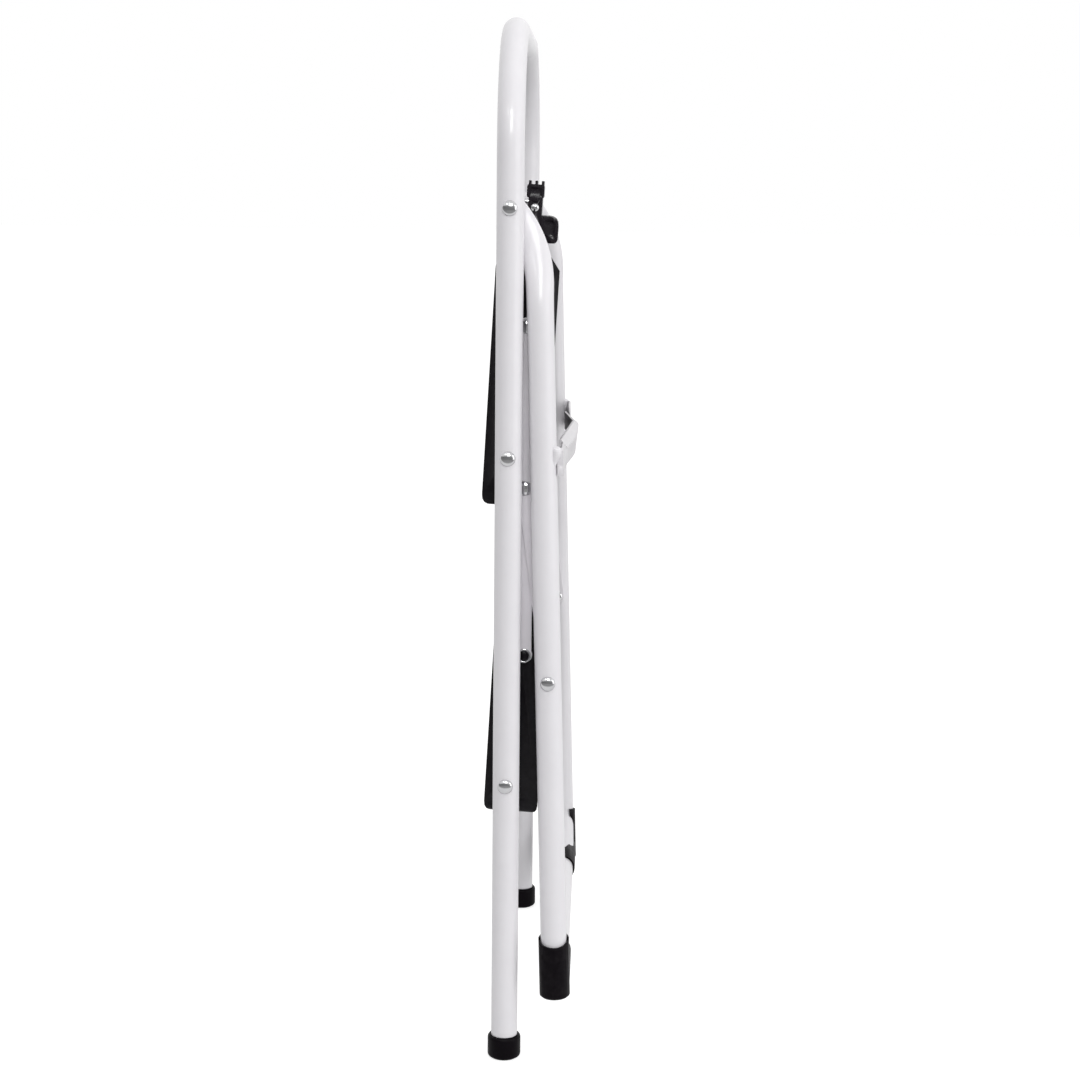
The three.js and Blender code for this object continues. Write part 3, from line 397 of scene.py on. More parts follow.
def edge_wear_and_crease_shade():
    """Edges that wear bright, and painted shade that darkens hollow corners, both from the form's own curvature."""
    tree, given, made = group(
        "edge_wear_and_crease_shade",
        [("Amount", "NodeSocketFloat", 0.5)],
        [("Edge", "NodeSocketFloat"), ("Crease_Shade", "NodeSocketFloat")],
    )
    shape = tree.nodes.new("ShaderNodeNewGeometry")
    broken = ramp(tree, noise(tree, 160, 4, 0.65), 0.35, 0.65)
    edge = ramp(tree, shape.outputs["Pointiness"], 0.53, 0.62)
    # Painted shade: this mask darkens hollow corners and creases, where shade falls.
    corner = ramp(tree, shape.outputs["Pointiness"], 0.48, 0.40)
    wear_and_highlight = maths(tree, "MULTIPLY", edge, broken)
    link(tree, maths(tree, "MULTIPLY", wear_and_highlight, given.outputs["Amount"]), made.inputs["Edge"])
    link(tree, maths(tree, "MULTIPLY", corner, given.outputs["Amount"]), made.inputs["Crease_Shade"])
    return tree


def fine_grain():
    """Two scales of surface grain as one height: the coarse skin and the fine tooth."""
    tree, given, made = group(
        "fine_grain",
        [("Coarse", "NodeSocketFloat", 0.5), ("Fine", "NodeSocketFloat", 0.5)],
        [("Height", "NodeSocketFloat")],
    )
    coarse = maths(tree, "MULTIPLY", noise(tree, 420, 2, 0.5), given.outputs["Coarse"])
    fine = maths(tree, "MULTIPLY", noise(tree, 1900, 2, 0.5), given.outputs["Fine"])
    link(tree, maths(tree, "ADD", coarse, fine), made.inputs["Height"])
    return tree


MARKS = handling_marks()
EDGES = edge_wear_and_crease_shade()
GRAIN = fine_grain()


def placed(tree, shared, **values):
    node = tree.nodes.new("ShaderNodeGroup")
    node.node_tree = shared
    for label, value in values.items():
        node.inputs[label].default_value = value
    return node


def finish_material(name, colour, smudge_and_shade, wear_and_highlight, roughness, spread, bump, marks, edges, grain, **plain):
    """A finish: a base colour with smudges, rubbed edges, painted shade in hollow corners, uneven gloss and surface
    grain.

    The bump is its strength and its depth in millimetres, and the grain is its coarse and its fine share.
    """
    material = bpy.data.materials.new(name)
    material.use_nodes = True
    tree = material.node_tree
    shader = tree.nodes["Principled BSDF"]
    mark = placed(tree, MARKS, Amount=marks)
    edge = placed(tree, EDGES, Amount=edges)
    skin_grain = placed(tree, GRAIN, Coarse=grain[0], Fine=grain[1])
    base = mix_colour(tree, mark.outputs["Smudge"], colour + (1,), smudge_and_shade + (1,))
    # Edges take the worn colour: real wear, and on the rubber feet also a painted highlight along the rims.
    base = mix_colour(tree, edge.outputs["Edge"], base, wear_and_highlight + (1,))
    # Painted shade: hollow corners take the darker colour, where shade falls.
    base = mix_colour(tree, edge.outputs["Crease_Shade"], base, smudge_and_shade + (1,))
    link(tree, base, shader.inputs["Base Color"])
    gloss = maths(tree, "ADD", maths(tree, "MULTIPLY", mark.outputs["Smudge"], spread), roughness)
    gloss = maths(tree, "ADD", gloss, maths(tree, "MULTIPLY", mark.outputs["Scratch"], spread), clamp=True)
    link(tree, gloss, shader.inputs["Roughness"])
    height = maths(tree, "SUBTRACT", skin_grain.outputs["Height"],
                   maths(tree, "MULTIPLY", mark.outputs["Scratch"], 0.6))
    relief = tree.nodes.new("ShaderNodeBump")
    relief.inputs["Strength"].default_value = bump[0]
    relief.inputs["Distance"].default_value = bump[1] * MM
    link(tree, height, relief.inputs["Height"])
    link(tree, relief.outputs["Normal"], shader.inputs["Normal"])
    for label, value in plain.items():
        shader.inputs[label.replace("_", " ")].default_value = value
    return material


PAINT = finish_material(
    "leg_paint", colour=(0.755, 0.742, 0.766), smudge_and_shade=(0.70, 0.685, 0.712), wear_and_highlight=(0.82, 0.81, 0.82),
    roughness=0.3, spread=0.10, bump=(0.2, 0.05), marks=0.35, edges=0.2, grain=(1.0, 0.15),
    Coat_Weight=0.3, Coat_Roughness=0.08, Specular_IOR_Level=0.38, IOR=1.45,
)
# Painted light: a lighter copy of the frame paint for the link and spreader bars, standing in for light on the bars
# that sit in shade between the tubes.
BAR_FINISH_WITH_PAINTED_LIGHT = finish_material(
    "bar_finish_with_painted_light", colour=(0.81, 0.785, 0.82), smudge_and_shade=(0.72, 0.70, 0.735), wear_and_highlight=(0.84, 0.83, 0.85),
    roughness=0.34, spread=0.10, bump=(0.25, 0.05), marks=0.4, edges=0.3, grain=(1.0, 0.2),
    Coat_Weight=0.25, Coat_Roughness=0.15, IOR=1.5,
)
# Painted shade: a darker copy of the frame paint for the crossbar and its shoulders, standing in for the lesser light
# that reaches them.
CROSSBAR_FINISH_WITH_PAINTED_SHADE = finish_material(
    "crossbar_finish_with_painted_shade", colour=(0.665, 0.648, 0.672), smudge_and_shade=(0.58, 0.565, 0.585), wear_and_highlight=(0.74, 0.73, 0.745),
    roughness=0.36, spread=0.10, bump=(0.25, 0.05), marks=0.4, edges=0.3, grain=(1.0, 0.2),
    Coat_Weight=0.2, Coat_Roughness=0.15, Specular_IOR_Level=0.35, IOR=1.5,
)
PLASTIC = finish_material(
    "tread_plastic", colour=(0.0036, 0.0027, 0.0042), smudge_and_shade=(0.006, 0.005, 0.0066), wear_and_highlight=(0.014, 0.013, 0.015),
    roughness=0.32, spread=0.12, bump=(0.3, 0.07), marks=0.5, edges=0.45, grain=(0.7, 0.8),
    Specular_IOR_Level=0.16,
)
LATCH_PLASTIC = finish_material(
    "latch_plastic", colour=(0.0068, 0.0042, 0.0076), smudge_and_shade=(0.010, 0.007, 0.011), wear_and_highlight=(0.02, 0.018, 0.021),
    roughness=0.2, spread=0.14, bump=(0.25, 0.06), marks=0.5, edges=0.45, grain=(0.8, 0.5),
    Specular_IOR_Level=0.36,
)
MAT_RUBBER = finish_material(
    "mat_rubber", colour=(0.007, 0.0064, 0.0076), smudge_and_shade=(0.012, 0.0115, 0.013), wear_and_highlight=(0.02, 0.019, 0.021),
    roughness=0.5, spread=0.14, bump=(0.5, 0.1), marks=0.6, edges=0.5, grain=(0.6, 1.0),
    Specular_IOR_Level=0.3,
)
# Painted highlight: the feet's lighter edge colour stands in for the highlight along their rims.
FOOT_RUBBER = finish_material(
    "foot_rubber", colour=(0.0026, 0.0016, 0.0028), smudge_and_shade=(0.0045, 0.0034, 0.0048), wear_and_highlight=(0.05, 0.045, 0.05),
    roughness=0.36, spread=0.16, bump=(0.4, 0.08), marks=0.6, edges=0.55, grain=(0.8, 0.9),
    Specular_IOR_Level=0.06,
)
CHROME = finish_material(
    "rivet_chrome", colour=(0.62, 0.62, 0.63), smudge_and_shade=(0.48, 0.48, 0.50), wear_and_highlight=(0.72, 0.72, 0.72),
    roughness=0.1, spread=0.12, bump=(0.3, 0.06), marks=0.5, edges=0.3, grain=(0.8, 0.3), Metallic=1.0,
)
ZINC = finish_material(
    "zinc_steel", colour=(0.66, 0.66, 0.68), smudge_and_shade=(0.48, 0.48, 0.50), wear_and_highlight=(0.78, 0.78, 0.79),
    roughness=0.3, spread=0.2, bump=(0.2, 0.05), marks=0.7, edges=0.4, grain=(0.9, 0.6), Metallic=1.0,
)


# Front frame


def front_stations():
    """Stations up the right leg, round the hand loop and down the left leg."""
    hub_x = FRONT_HALF - FRONT["bend"]
    hub_z = FRONT_TOP - FRONT["radius"] - FRONT["bend"]
    depth = Vector((0, 1, 0))
    line = [(Vector((FRONT_HALF, FRONT_Y, z)), Vector((1, 0, 0)))
            for z in spaced(FRONT["floor"], hub_z, LEG_STEPS)]
    for side in (1, -1):
        for step in range(LOOP_BEND_STEPS + 1):
            turn = math.radians(90) * step / LOOP_BEND_STEPS
            if side < 0:
                turn = math.radians(90) - turn
            out = Vector((side * math.cos(turn), 0, math.sin(turn)))
            line.append((Vector((side * hub_x, FRONT_Y, hub_z)) + out * FRONT["bend"], out))
    line += [(Vector((-FRONT_HALF, FRONT_Y, z)), Vector((-1, 0, 0)))
             for z in spaced(hub_z, FRONT["floor"], LEG_STEPS)]
    return [(centre, out, depth, FRONT["radius"], FRONT["radius"]) for centre, out in without_doubles(line)]


def without_doubles(line):
    kept = [line[0]]
    for centre, out in line[1:]:
        if (centre - kept[-1][0]).length > 0.01:
            kept.append((centre, out))
    return kept


def front_tube_mesh():
    """The front tube, open at its two lower ends."""
    form = bmesh.new()
    stations = front_stations()
    outer = [oval(station) for station in stations]
    inner = [oval(station, -FRONT["wall"]) for station in reversed(stations)]
    skin(form, outer + inner, closed=True)
    return mesh_of(form, "front_legs_and_loop", 50)


new_piece("front_legs_and_loop", front_tube_mesh(), "frame_paint", PAINT, "front_tube")


def foot_mesh(name, side):
    """A rubber cup with a rolled mouth, a chamfered tread and two shallow grooves round its foot."""
    outer, bore, height = FOOT["radius"], FOOT["bore"], FOOT["height"]
    floor, chamfer = FOOT["floor"], FOOT["chamfer"]
    profile = [
        (0, 0.8), (outer / 3, 0.8), (outer / 3 + 0.8, 0), (outer - chamfer - 2.4, 0), (outer - chamfer - 2.0, 0.6),
        (outer - chamfer - 1.0, 0.6), (outer - chamfer - 0.6, 0), (outer - chamfer, 0), (outer - 0.8, 1.2),
        (outer - 0.15, 2.2), (outer, 3.2), (outer, height - 3.2), (outer - 0.2, height - 2.2),
        (outer - 0.8, height - 1.2), (outer - 1.6, height - 0.4), (outer - 2.1, height), (bore + 0.3, height),
        (bore, height - 0.3), (bore, floor), (0, floor),
    ]
    form = bmesh.new()
    rows = []
    for radius, up in profile:
        if radius == 0:
            rows.append([form.verts.new((side * FRONT_HALF, FRONT_Y, up))])
            continue
        rows.append([form.verts.new((side * FRONT_HALF + radius * math.cos(2 * math.pi * i / ROUND_SIDES),
                                     FRONT_Y + radius * math.sin(2 * math.pi * i / ROUND_SIDES), up))
                     for i in range(ROUND_SIDES)])
    for a, b in zip(rows, rows[1:]):
        for i in range(ROUND_SIDES):
            j = (i + 1) % ROUND_SIDES
            form.faces.new(list(dict.fromkeys([a[i % len(a)], a[j % len(a)], b[j % len(b)], b[i % len(b)]])))
    return mesh_of(form, name, 30)


for label, side in SIDES:
    name = "front_foot_cup_" + label
    new_piece(name, foot_mesh(name, side), "black_rubber", FOOT_RUBBER, "front_foot_" + label)


# Rear frame, drawn about the fold pivot and then leant back

UPPER_BEND = math.acos(1 - REAR["offset"] / REAR["bend"])
rear_place = Matrix.Translation((0, FOLD_AXIS[0], FOLD_AXIS[1])) @ Matrix.Rotation(math.radians(REAR_LEAN), 4, "X")


def leg_station(side, along):
    """The centre and section of a rear leg at a distance along it from its flattened top end."""
    arc = REAR["bend"] * UPPER_BEND
    turn = UPPER_BEND - min(along, arc) / REAR["bend"]
    y = REAR["offset"] - REAR["bend"] + REAR["bend"] * math.cos(turn)
    z = REAR["bend"] * (math.sin(turn) - math.sin(UPPER_BEND)) - max(0, along - arc)
    ease = ease_between(along, REAR["end_half_width"] / 2, REAR["flatten"])
    widening = math.sin(math.pi * min(1, max(0, along) / REAR["flatten"])) ** 2
    half_width = REAR["end_half_width"] + ease * (REAR["radius"] - REAR["end_half_width"])
    half_width += widening * (REAR["flat_half_width"] - REAR["radius"])
    thickness = REAR["end_half_thickness"] + ease * (REAR["radius"] - REAR["end_half_thickness"])
    x = side * (FLAT_END + ease * (REAR_HALF - FLAT_END))
    over = Vector((0, math.cos(turn), math.sin(turn)))
    return (Vector((x, y, z)), Vector((side, 0, 0)), over, thickness, half_width)


def rear_half(side):
    """Stations from a rear leg's rounded top end to the middle of the floor bar."""
    centre, across, over, a, b = leg_station(side, 0)
    down = Vector((0, over.z, -over.y))
    stations = []
    for share in (0.995, 0.97, 0.92, 0.85, 0.75, 0.62, 0.48, 0.32, 0.16):
        stations.append((centre - down * (REAR["end_half_width"] * share), across, over,
                         a * (1 - share ** 6) ** 0.5, b * math.sqrt(1 - share ** 2)))
    shaped = max(REAR["flatten"], REAR["bend"] * UPPER_BEND)
    stations += [leg_station(side, shaped * i / SHAPED_STEPS) for i in range(SHAPED_STEPS + 1)]
    straight = REAR["length"] - REAR["corner"] - (REAR["bend"] * math.sin(UPPER_BEND))
    run = REAR["bend"] * UPPER_BEND + straight
    stations += [leg_station(side, shaped + (run - shaped) * i / STRAIGHT_STEPS) for i in range(1, STRAIGHT_STEPS)]
    hub = Vector((side * (REAR_HALF - REAR["corner"]), REAR["offset"], REAR["corner"] - REAR["length"]))
    for step in range(CORNER_STEPS + 1):
        turn = math.radians(90) * step / CORNER_STEPS
        out = Vector((side * math.cos(turn), 0, -math.sin(turn)))
        stations.append((hub + out * REAR["corner"], out, Vector((0, 1, 0)), REAR["radius"], REAR["radius"]))
    return stations


def rear_tube_mesh():
    form = bmesh.new()
    skin(form, [oval(s) for s in rear_half(1) + list(reversed(rear_half(-1)))])
    return mesh_of(form, "rear_legs_and_floor_bar", 50, rear_place)


new_piece("rear_legs_and_floor_bar", rear_tube_mesh(), "frame_paint", PAINT, "rear_tube")


# Fasteners: domed heads and tails, turned finer than the solids' own


def quarter(radius, rise, base, steps=10):
    """A dome's profile from its rim at base to its crown on the axis."""
    turns = [math.pi / 2 * step / steps for step in range(steps)]
    return [(radius * math.cos(t), base + rise * math.sin(t)) for t in turns] + [(0, base + rise)]


def rivet(name, node, side, head_at, tail_at, tube, slot, material):
    """A rivet with a domed head that lies on a round tube or a flat face, and a clenched tail."""
    y, z = axis_of(node)
    head, shank, tail = RIVET["head"], RIVET["shank"], RIVET["tail"]
    start = tail_at - GAP - RIVET["tail_height"]
    base = head_at + GAP if tube else head_at
    rim = [(head, base, True)] if tube else [(head, base)]
    profile = [
        (0, start + 1.1), (1.5, start + 0.9), (2.1, start), (3.2, start + 0.1), (tail - 0.5, start + 0.7),
        (tail, start + 1.4), (tail, tail_at - GAP - 0.3), (tail - 0.3, tail_at - GAP), (shank, tail_at - GAP),
        (shank, base - 2.2), *rim, *quarter(head, RIVET["rise"] - 0.02, base + 0.02),
    ]
    mesh = turned_on_x(name, profile, side, y, z, tube, degrees=40)
    new_piece(name, mesh, slot, material, node)


def half_rivet(name, node, side, head_at, shank_end, material):
    """A domed head on a flat face, on a shank that stops inside the bars."""
    y, z = axis_of(node)
    profile = [
        (0, shank_end), (RIVET["shank"], shank_end), (RIVET["shank"], head_at), (RIVET["head"], head_at),
        *quarter(RIVET["head"], RIVET["rise"] - 0.02, head_at + 0.02),
    ]
    new_piece(name, turned_on_x(name, profile, side, y, z, degrees=40), "rivet_chrome", material, node)


def ring(name, node, side, radius, outer_face, inner_face, slot, material):
    """A flat ring with softened rims and a bore for its rivet."""
    y, z = axis_of(node)
    bore = RIVET["shank"] + GAP
    soft = min(0.4, (outer_face - inner_face) / 3)
    profile = [
        (bore, inner_face), (radius - soft, inner_face), (radius, inner_face + soft), (radius, outer_face - soft),
        (radius - soft, outer_face), (bore, outer_face),
    ]
    new_piece(name, turned_on_x(name, profile, side, y, z, degrees=25), slot, material, node)


BOSS_FACE = TREAD_HALF - TREAD_WALL - TREAD_BOSS
CROWN = FRONT_HALF + FRONT["radius"]
for label, side in SIDES:
    rivet("fold_rivet_head_" + label, "fold_rivet_" + label, side, CROWN, FLAT_END - REAR["end_half_thickness"],
          FRONT["radius"], "rivet_chrome", CHROME)
    face = FRONT_INSIDE - GAP
    ring("fold_ring_" + label, "fold_washer_" + label, side, WASHER["radius"], face, face - WASHER["thickness"],
         "tread_plastic", PLASTIC)
    for level in ("upper", "lower"):
        rivet(level + "_tread_rivet_head_" + label, level + "_tread_rivet_" + label, side, CROWN, BOSS_FACE,
              FRONT["radius"], "rivet_chrome", CHROME)
        ring(level + "_tread_bush_" + label, level + "_tread_spacer_" + label, side, SPACER_RADIUS,
             FRONT_INSIDE - GAP, TREAD_HALF + GAP, "tread_plastic", PLASTIC)
        if level == "upper":
            rivet("upper_link_rivet_head_" + label, "upper_link_rivet_" + label, side, LINK_FACE, BOSS_FACE, 0,
                  "rivet_chrome", CHROME)
        ring(level + "_link_ring_" + label, level + "_link_washer_" + label, side, WASHER["radius"],
             LINK_FACE - BAR["thickness"] - GAP, TREAD_HALF + GAP, "zinc_steel", ZINC)
    rivet("spreader_rivet_head_" + label, "spreader_rivet_" + label, side, REAR_HALF + REAR["radius"],
          SPREADER_FACE - BAR["thickness"], REAR["radius"], "rivet_chrome", CHROME)
    half_rivet("middle_rivet_head_" + label, "middle_rivet_" + label, side, SPREADER_FACE + GAP,
               SPREADER_FACE - BAR["thickness"], CHROME)
    half_rivet("middle_rivet_back_" + label, "middle_rivet_tail_" + label, -side,
               -LINK_FACE + BAR["thickness"] + GAP, -LINK_FACE, CHROME)


def capped_rivet(label, side):
    """The lower link rivet: a bright flange with a rolled rim, round a black cap."""
    node = "lower_link_rivet_" + label
    y, z = axis_of(node)
    head, shank, tail = RIVET["head"], RIVET["shank"], RIVET["tail"]
    start = BOSS_FACE - GAP - RIVET["tail_height"]
    stop = start + RIVET["tail_height"]
    flange = [
        (1.2, start + 0.8), (3.2, start), (tail - 0.5, start + 0.5), (tail, start + 1.2), (tail, stop),
        (shank, stop), (shank, LINK_FACE), (head, LINK_FACE), (head, LINK_FACE + 0.8),
        (head - 0.3, LINK_FACE + 1.2), (head - 0.8, LINK_FACE + 1.35), (4.9, LINK_FACE + 1.2),
        (4.5, LINK_FACE + 0.7), (1.2, LINK_FACE + 0.7),
    ]
    mesh = turned_on_x("lower_link_flange_" + label, flange, side, y, z, degrees=40)
    new_piece("lower_link_flange_" + label, mesh, "rivet_chrome", CHROME, node)
    base = LINK_FACE + 0.75
    cap = [(0, base), (4.3, base), (4.3, base + 0.5)] + quarter(4.2, 1.4, base + 0.55)
    mesh = turned_on_x("lower_link_cap_" + label, cap, side, y, z, degrees=40)
    new_piece("lower_link_cap_" + label, mesh, "tread_plastic", PLASTIC, body=body_of[node])


for label, side in SIDES:
    capped_rivet(label, side)


# Link and spreader bars


def bar(name, node, side, face, start, end):
    """A flat bar with round ends and softened edges between two (y, z) pivots."""
    start, end = Vector(start), Vector(end)
    along = (end - start).normalized()
    across = Vector((-along.y, along.x))
    soft = 0.35
    form = bmesh.new()
    edge = ((0, soft), (soft * 0.3, soft * 0.3), (soft, 0))
    rings = [(face - depth, shrink) for depth, shrink in edge]
    rings += [(face - BAR["thickness"] + depth, shrink) for depth, shrink in reversed(edge)]
    loops = []
    for x, shrink in rings:
        radius = BAR["half_width"] - shrink
        points = []
        for centre, from_turn in ((end, -90), (start, 90)):
            for step in range(21):
                turn = math.radians(from_turn + 180 * step / 20)
                at = centre + along * (radius * math.cos(turn)) + across * (radius * math.sin(turn))
                points.append((side * x, at.x, at.y))
        loops.append(points)
    skin(form, loops)
    new_piece(name, mesh_of(form, name, 50), "frame_paint", BAR_FINISH_WITH_PAINTED_LIGHT, node)


for label, side in SIDES:
    pivots = {key: axis_of(node + label) for key, node in (
        ("top", "upper_link_rivet_"), ("bottom", "lower_link_rivet_"), ("middle", "middle_rivet_"),
        ("rear", "spreader_rivet_"))}
    bar("link_strip_" + label, "link_bar_" + label, side, LINK_FACE, pivots["top"], pivots["bottom"])
    bar("spreader_strip_" + label, "spreader_bar_" + label, side, SPREADER_FACE, pivots["middle"], pivots["rear"])


# Treads, drawn level about their pivots and then turned up


def tread_place(level):
    y, z = axis_of(level + "_tread_rivet_right")
    return Matrix.Translation((0, y, z)) @ Matrix.Rotation(math.radians(TREAD_TURN), 4, "X")


def ridge_height(along, first, count):
    """How high the mat stands above its ground at a distance along the tread."""
    near = round((first - along) / MAT["pitch"])
    if near < 0 or near >= count:
        return 0
    off = abs(along - (first - near * MAT["pitch"]))
    return MAT["ridge"] * max(0, 1 - (2 * off / MAT["width"]) ** 4)


def mat_mesh(name, level):
    """A rubber mat with round-topped ridges that stop short of its edges."""
    size = TREADS[level]
    half = TREAD_HALF - MAT["inset"]
    start, end = -size["nose"] + MAT["nose_inset"], size["heel"] - MAT["inset"]
    ground = size["top"] + GAP
    count = math.floor((end - start - MAT["pitch"] + MAT["width"]) / MAT["pitch"])
    first = (start + end) / 2 + (count - 1) * MAT["pitch"] / 2
    steps = 12
    alongs = [start, start + 0.25, start + 0.8, start + 1.8]
    low = first - (count - 1) * MAT["pitch"] - MAT["pitch"] / 2
    alongs += [low + MAT["pitch"] * i / steps for i in range(count * steps + 1)]
    alongs += [end - 1.8, end - 0.8, end - 0.25, end]
    alongs = sorted({round(a, 3) for a in alongs if start <= a <= end})
    form = bmesh.new()
    rows = []
    for along in alongs:
        edge = min(along - start, end - along)
        cut = MAT["corner"] - math.sqrt(max(0, MAT["corner"] ** 2 - max(0, MAT["corner"] - edge) ** 2))
        width = half - cut
        fall = MAT["lip_fall"] * max(0, 1 - edge / MAT["lip"]) ** 2
        row = [form.verts.new((-width, along, ground))]
        ends = ((0, -0.35, 0), (0.25, -0.12, 0), (0.8, 0, 0), (2.2, 0, 0), (3.0, 0, 0.7), (4.2, 0, 1))
        for sign, entries in ((-1, ends), (1, tuple(reversed(ends)))):
            for inset, drop, share in entries:
                up = ground + MAT["thickness"] + drop - fall + share * ridge_height(along, first, count)
                row.append(form.verts.new((sign * (width - inset), along, up)))
        row.append(form.verts.new((width, along, ground)))
        rows.append(row)
    for a, b in zip(rows, rows[1:]):
        for i in range(len(a)):
            j = (i + 1) % len(a)
            form.faces.new((a[i], a[j], b[j], b[i]))
    form.faces.new(rows[0])
    form.faces.new(list(reversed(rows[-1])))
    return mesh_of(form, name, 50, tread_place(level))


for level in TREADS:
    new_piece(level + "_ridged_mat", mat_mesh(level + "_ridged_mat", level), "black_rubber", MAT_RUBBER,
              level + "_tread_mat")


# The latch's pin and spring


def latch_pin_mesh():
    y, z = axis_of("latch_pin")
    reach = LATCH["arm_half"] + GAP + LATCH["cheek"] + GAP
    head = [(LATCH["pin"], reach)] + quarter(LATCH["pin_head"], LATCH["pin_rise"], reach)
    return turned_on_x("latch_hinge_pin", [(r, -h) for r, h in reversed(head)] + head, 1, y, z, degrees=40)


def spring_mesh():
    """A torsion spring: round wire wound on the pin, with a straight leg at each end."""
    y, z = axis_of("latch_pin")
    steps = 30
    start = -LATCH["pitch"] * LATCH["coils"] / 2
    path = []
    for step in range(LATCH["coils"] * steps + 1):
        turn = 2 * math.pi * step / steps
        path.append(Vector((start + LATCH["pitch"] * step / steps,
                            LATCH["coil"] * math.sin(turn), LATCH["coil"] * math.cos(turn))))
    first = [path[0] + Vector((0, -LATCH["leg"] * share, 0)) for share in (1, 0.6, 0.3)]
    last = [path[-1] + Vector((0, LATCH["leg"] / 2 * share, 0)) for share in (0.4, 0.7, 1)]
    path = first + path + last
    rings = []
    for i, centre in enumerate(path):
        tangent = (path[min(i + 1, len(path) - 1)] - path[max(i - 1, 0)]).normalized()
        over = (Vector((1, 0, 0)) - tangent * tangent.x).normalized()
        rings.append(oval((centre, tangent.cross(over), over, LATCH["wire"] / 2, LATCH["wire"] / 2), sides=12))
    form = bmesh.new()
    skin(form, rings)
    turned_up = Matrix.Translation((0, y, z)) @ Matrix.Rotation(math.radians(TREAD_TURN), 4, "X")
    return mesh_of(form, "latch_coil", 50, turned_up)


new_piece("latch_hinge_pin", latch_pin_mesh(), "rivet_chrome", CHROME, "latch_pin")
new_piece("latch_coil", spring_mesh(), "zinc_steel", ZINC, "latch_spring")


def prism(name, outline, x_low, x_high, place):
    """A closed block: a side view of (y, z) points, given a width along X."""
    form = bmesh.new()
    skin(form, [[(x, y, z) for y, z in outline] for x in (x_low, x_high)])
    return mesh_of(form, name, 30, place)


def lever_recesses():
    """Shallow hollows moulded in both cheeks of the latch lever."""
    place = tread_place("upper")
    outer = LATCH["arm_half"] + GAP + LATCH["cheek"]
    pin_y, pin_z = LATCH["along"], -LATCH["below"]
    hook = rounded_corners([(pin_y - 11, pin_z - 8), (pin_y - 11, pin_z - 18.5), (pin_y - 25, pin_z - 18.5),
                            (pin_y - 25, pin_z - 14), (pin_y - 17, pin_z - 12)], 2.6)
    head = rounded_corners([(pin_y + 10.6, pin_z - 4.6), (pin_y + 17.4, pin_z - 4.6), (pin_y + 17.4, pin_z + 5.4),
                            (pin_y + 10.6, pin_z + 5.4)], 1.6)
    tools = []
    for outline, depth in ((hook, 1.8), (head, 0.9)):
        tools.append(prism("recess", outline, outer - depth, outer + 2, place))
        tools.append(prism("recess", outline, -outer - 2, depth - outer, place))
    return tools


# Pieces that keep their solid's shape, with their edges eased

for node, width, slot, material in (
    ("upper_tread_pan", 0.8, "tread_plastic", PLASTIC), ("lower_tread_pan", 0.8, "tread_plastic", PLASTIC),
    ("rear_crossbar", 0.35, "frame_paint", CROSSBAR_FINISH_WITH_PAINTED_SHADE), ("latch_arm", 0.5, "tread_plastic", PLASTIC),
):
    new_piece(node + "_eased", eased(node, width), slot, material, node)
new_piece("latch_lever_eased", eased("latch_lever", 0.5, cuts=lever_recesses()), "tread_plastic", LATCH_PLASTIC,
          "latch_lever")


def shoe_mesh(node):
    """The eased shoe, with the scallop at the top of its sleeve made shallower in the middle."""
    sleeve, half_scallop, lift = 19, 13, 3.2
    mesh = eased(node, 0.5)
    back = rear_place.inverted()
    sleeve_top = max((back @ (v.co / MM)).z for v in mesh.vertices)
    for vertex in mesh.vertices:
        local = back @ (vertex.co / MM)
        off = abs(local.y - REAR["offset"])
        if local.z > sleeve_top - sleeve and off < half_scallop:
            local.z += lift * (1 - (off / half_scallop) ** 2)
            vertex.co = (rear_place @ local) * MM
    return mesh


for label, side in SIDES:
    node = "rear_shoe_" + label
    new_piece(node + "_eased", shoe_mesh(node), "black_rubber", FOOT_RUBBER, node)


# Weld beads that hold the crossbar to the rear legs


def weld_mesh(name, side):
    """A teardrop of weld that ties the crossbar's end to the back of the leg and runs out below into it."""
    form = bmesh.new()
    rings = []
    for step in range(33):
        share = step / 32
        taper = ease_between(share, WELD["taper_share"], 1)
        swell = math.sqrt(max(0.03, 1 - max(0, 1 - share / WELD["blunt_share"]) ** 2)) * (1 - WELD["taper"] * taper)
        swell *= 1 + WELD["ripple"] * math.sin(step * WELD["ripple_turn"])
        up = WELD["top"] - WELD["length"] * share
        back = WELD["behind"] + (WELD["top"] - up) * math.tan(math.radians(REAR_LEAN)) - WELD["sink"] * taper
        rings.append(oval((Vector((side * WELD["across"], back, up)), Vector((1, 0, 0)), Vector((0, 1, 0)),
                           WELD["half_width"] * swell, WELD["half_depth"] * swell), sides=24))
    skin(form, rings)
    return mesh_of(form, name, 60)


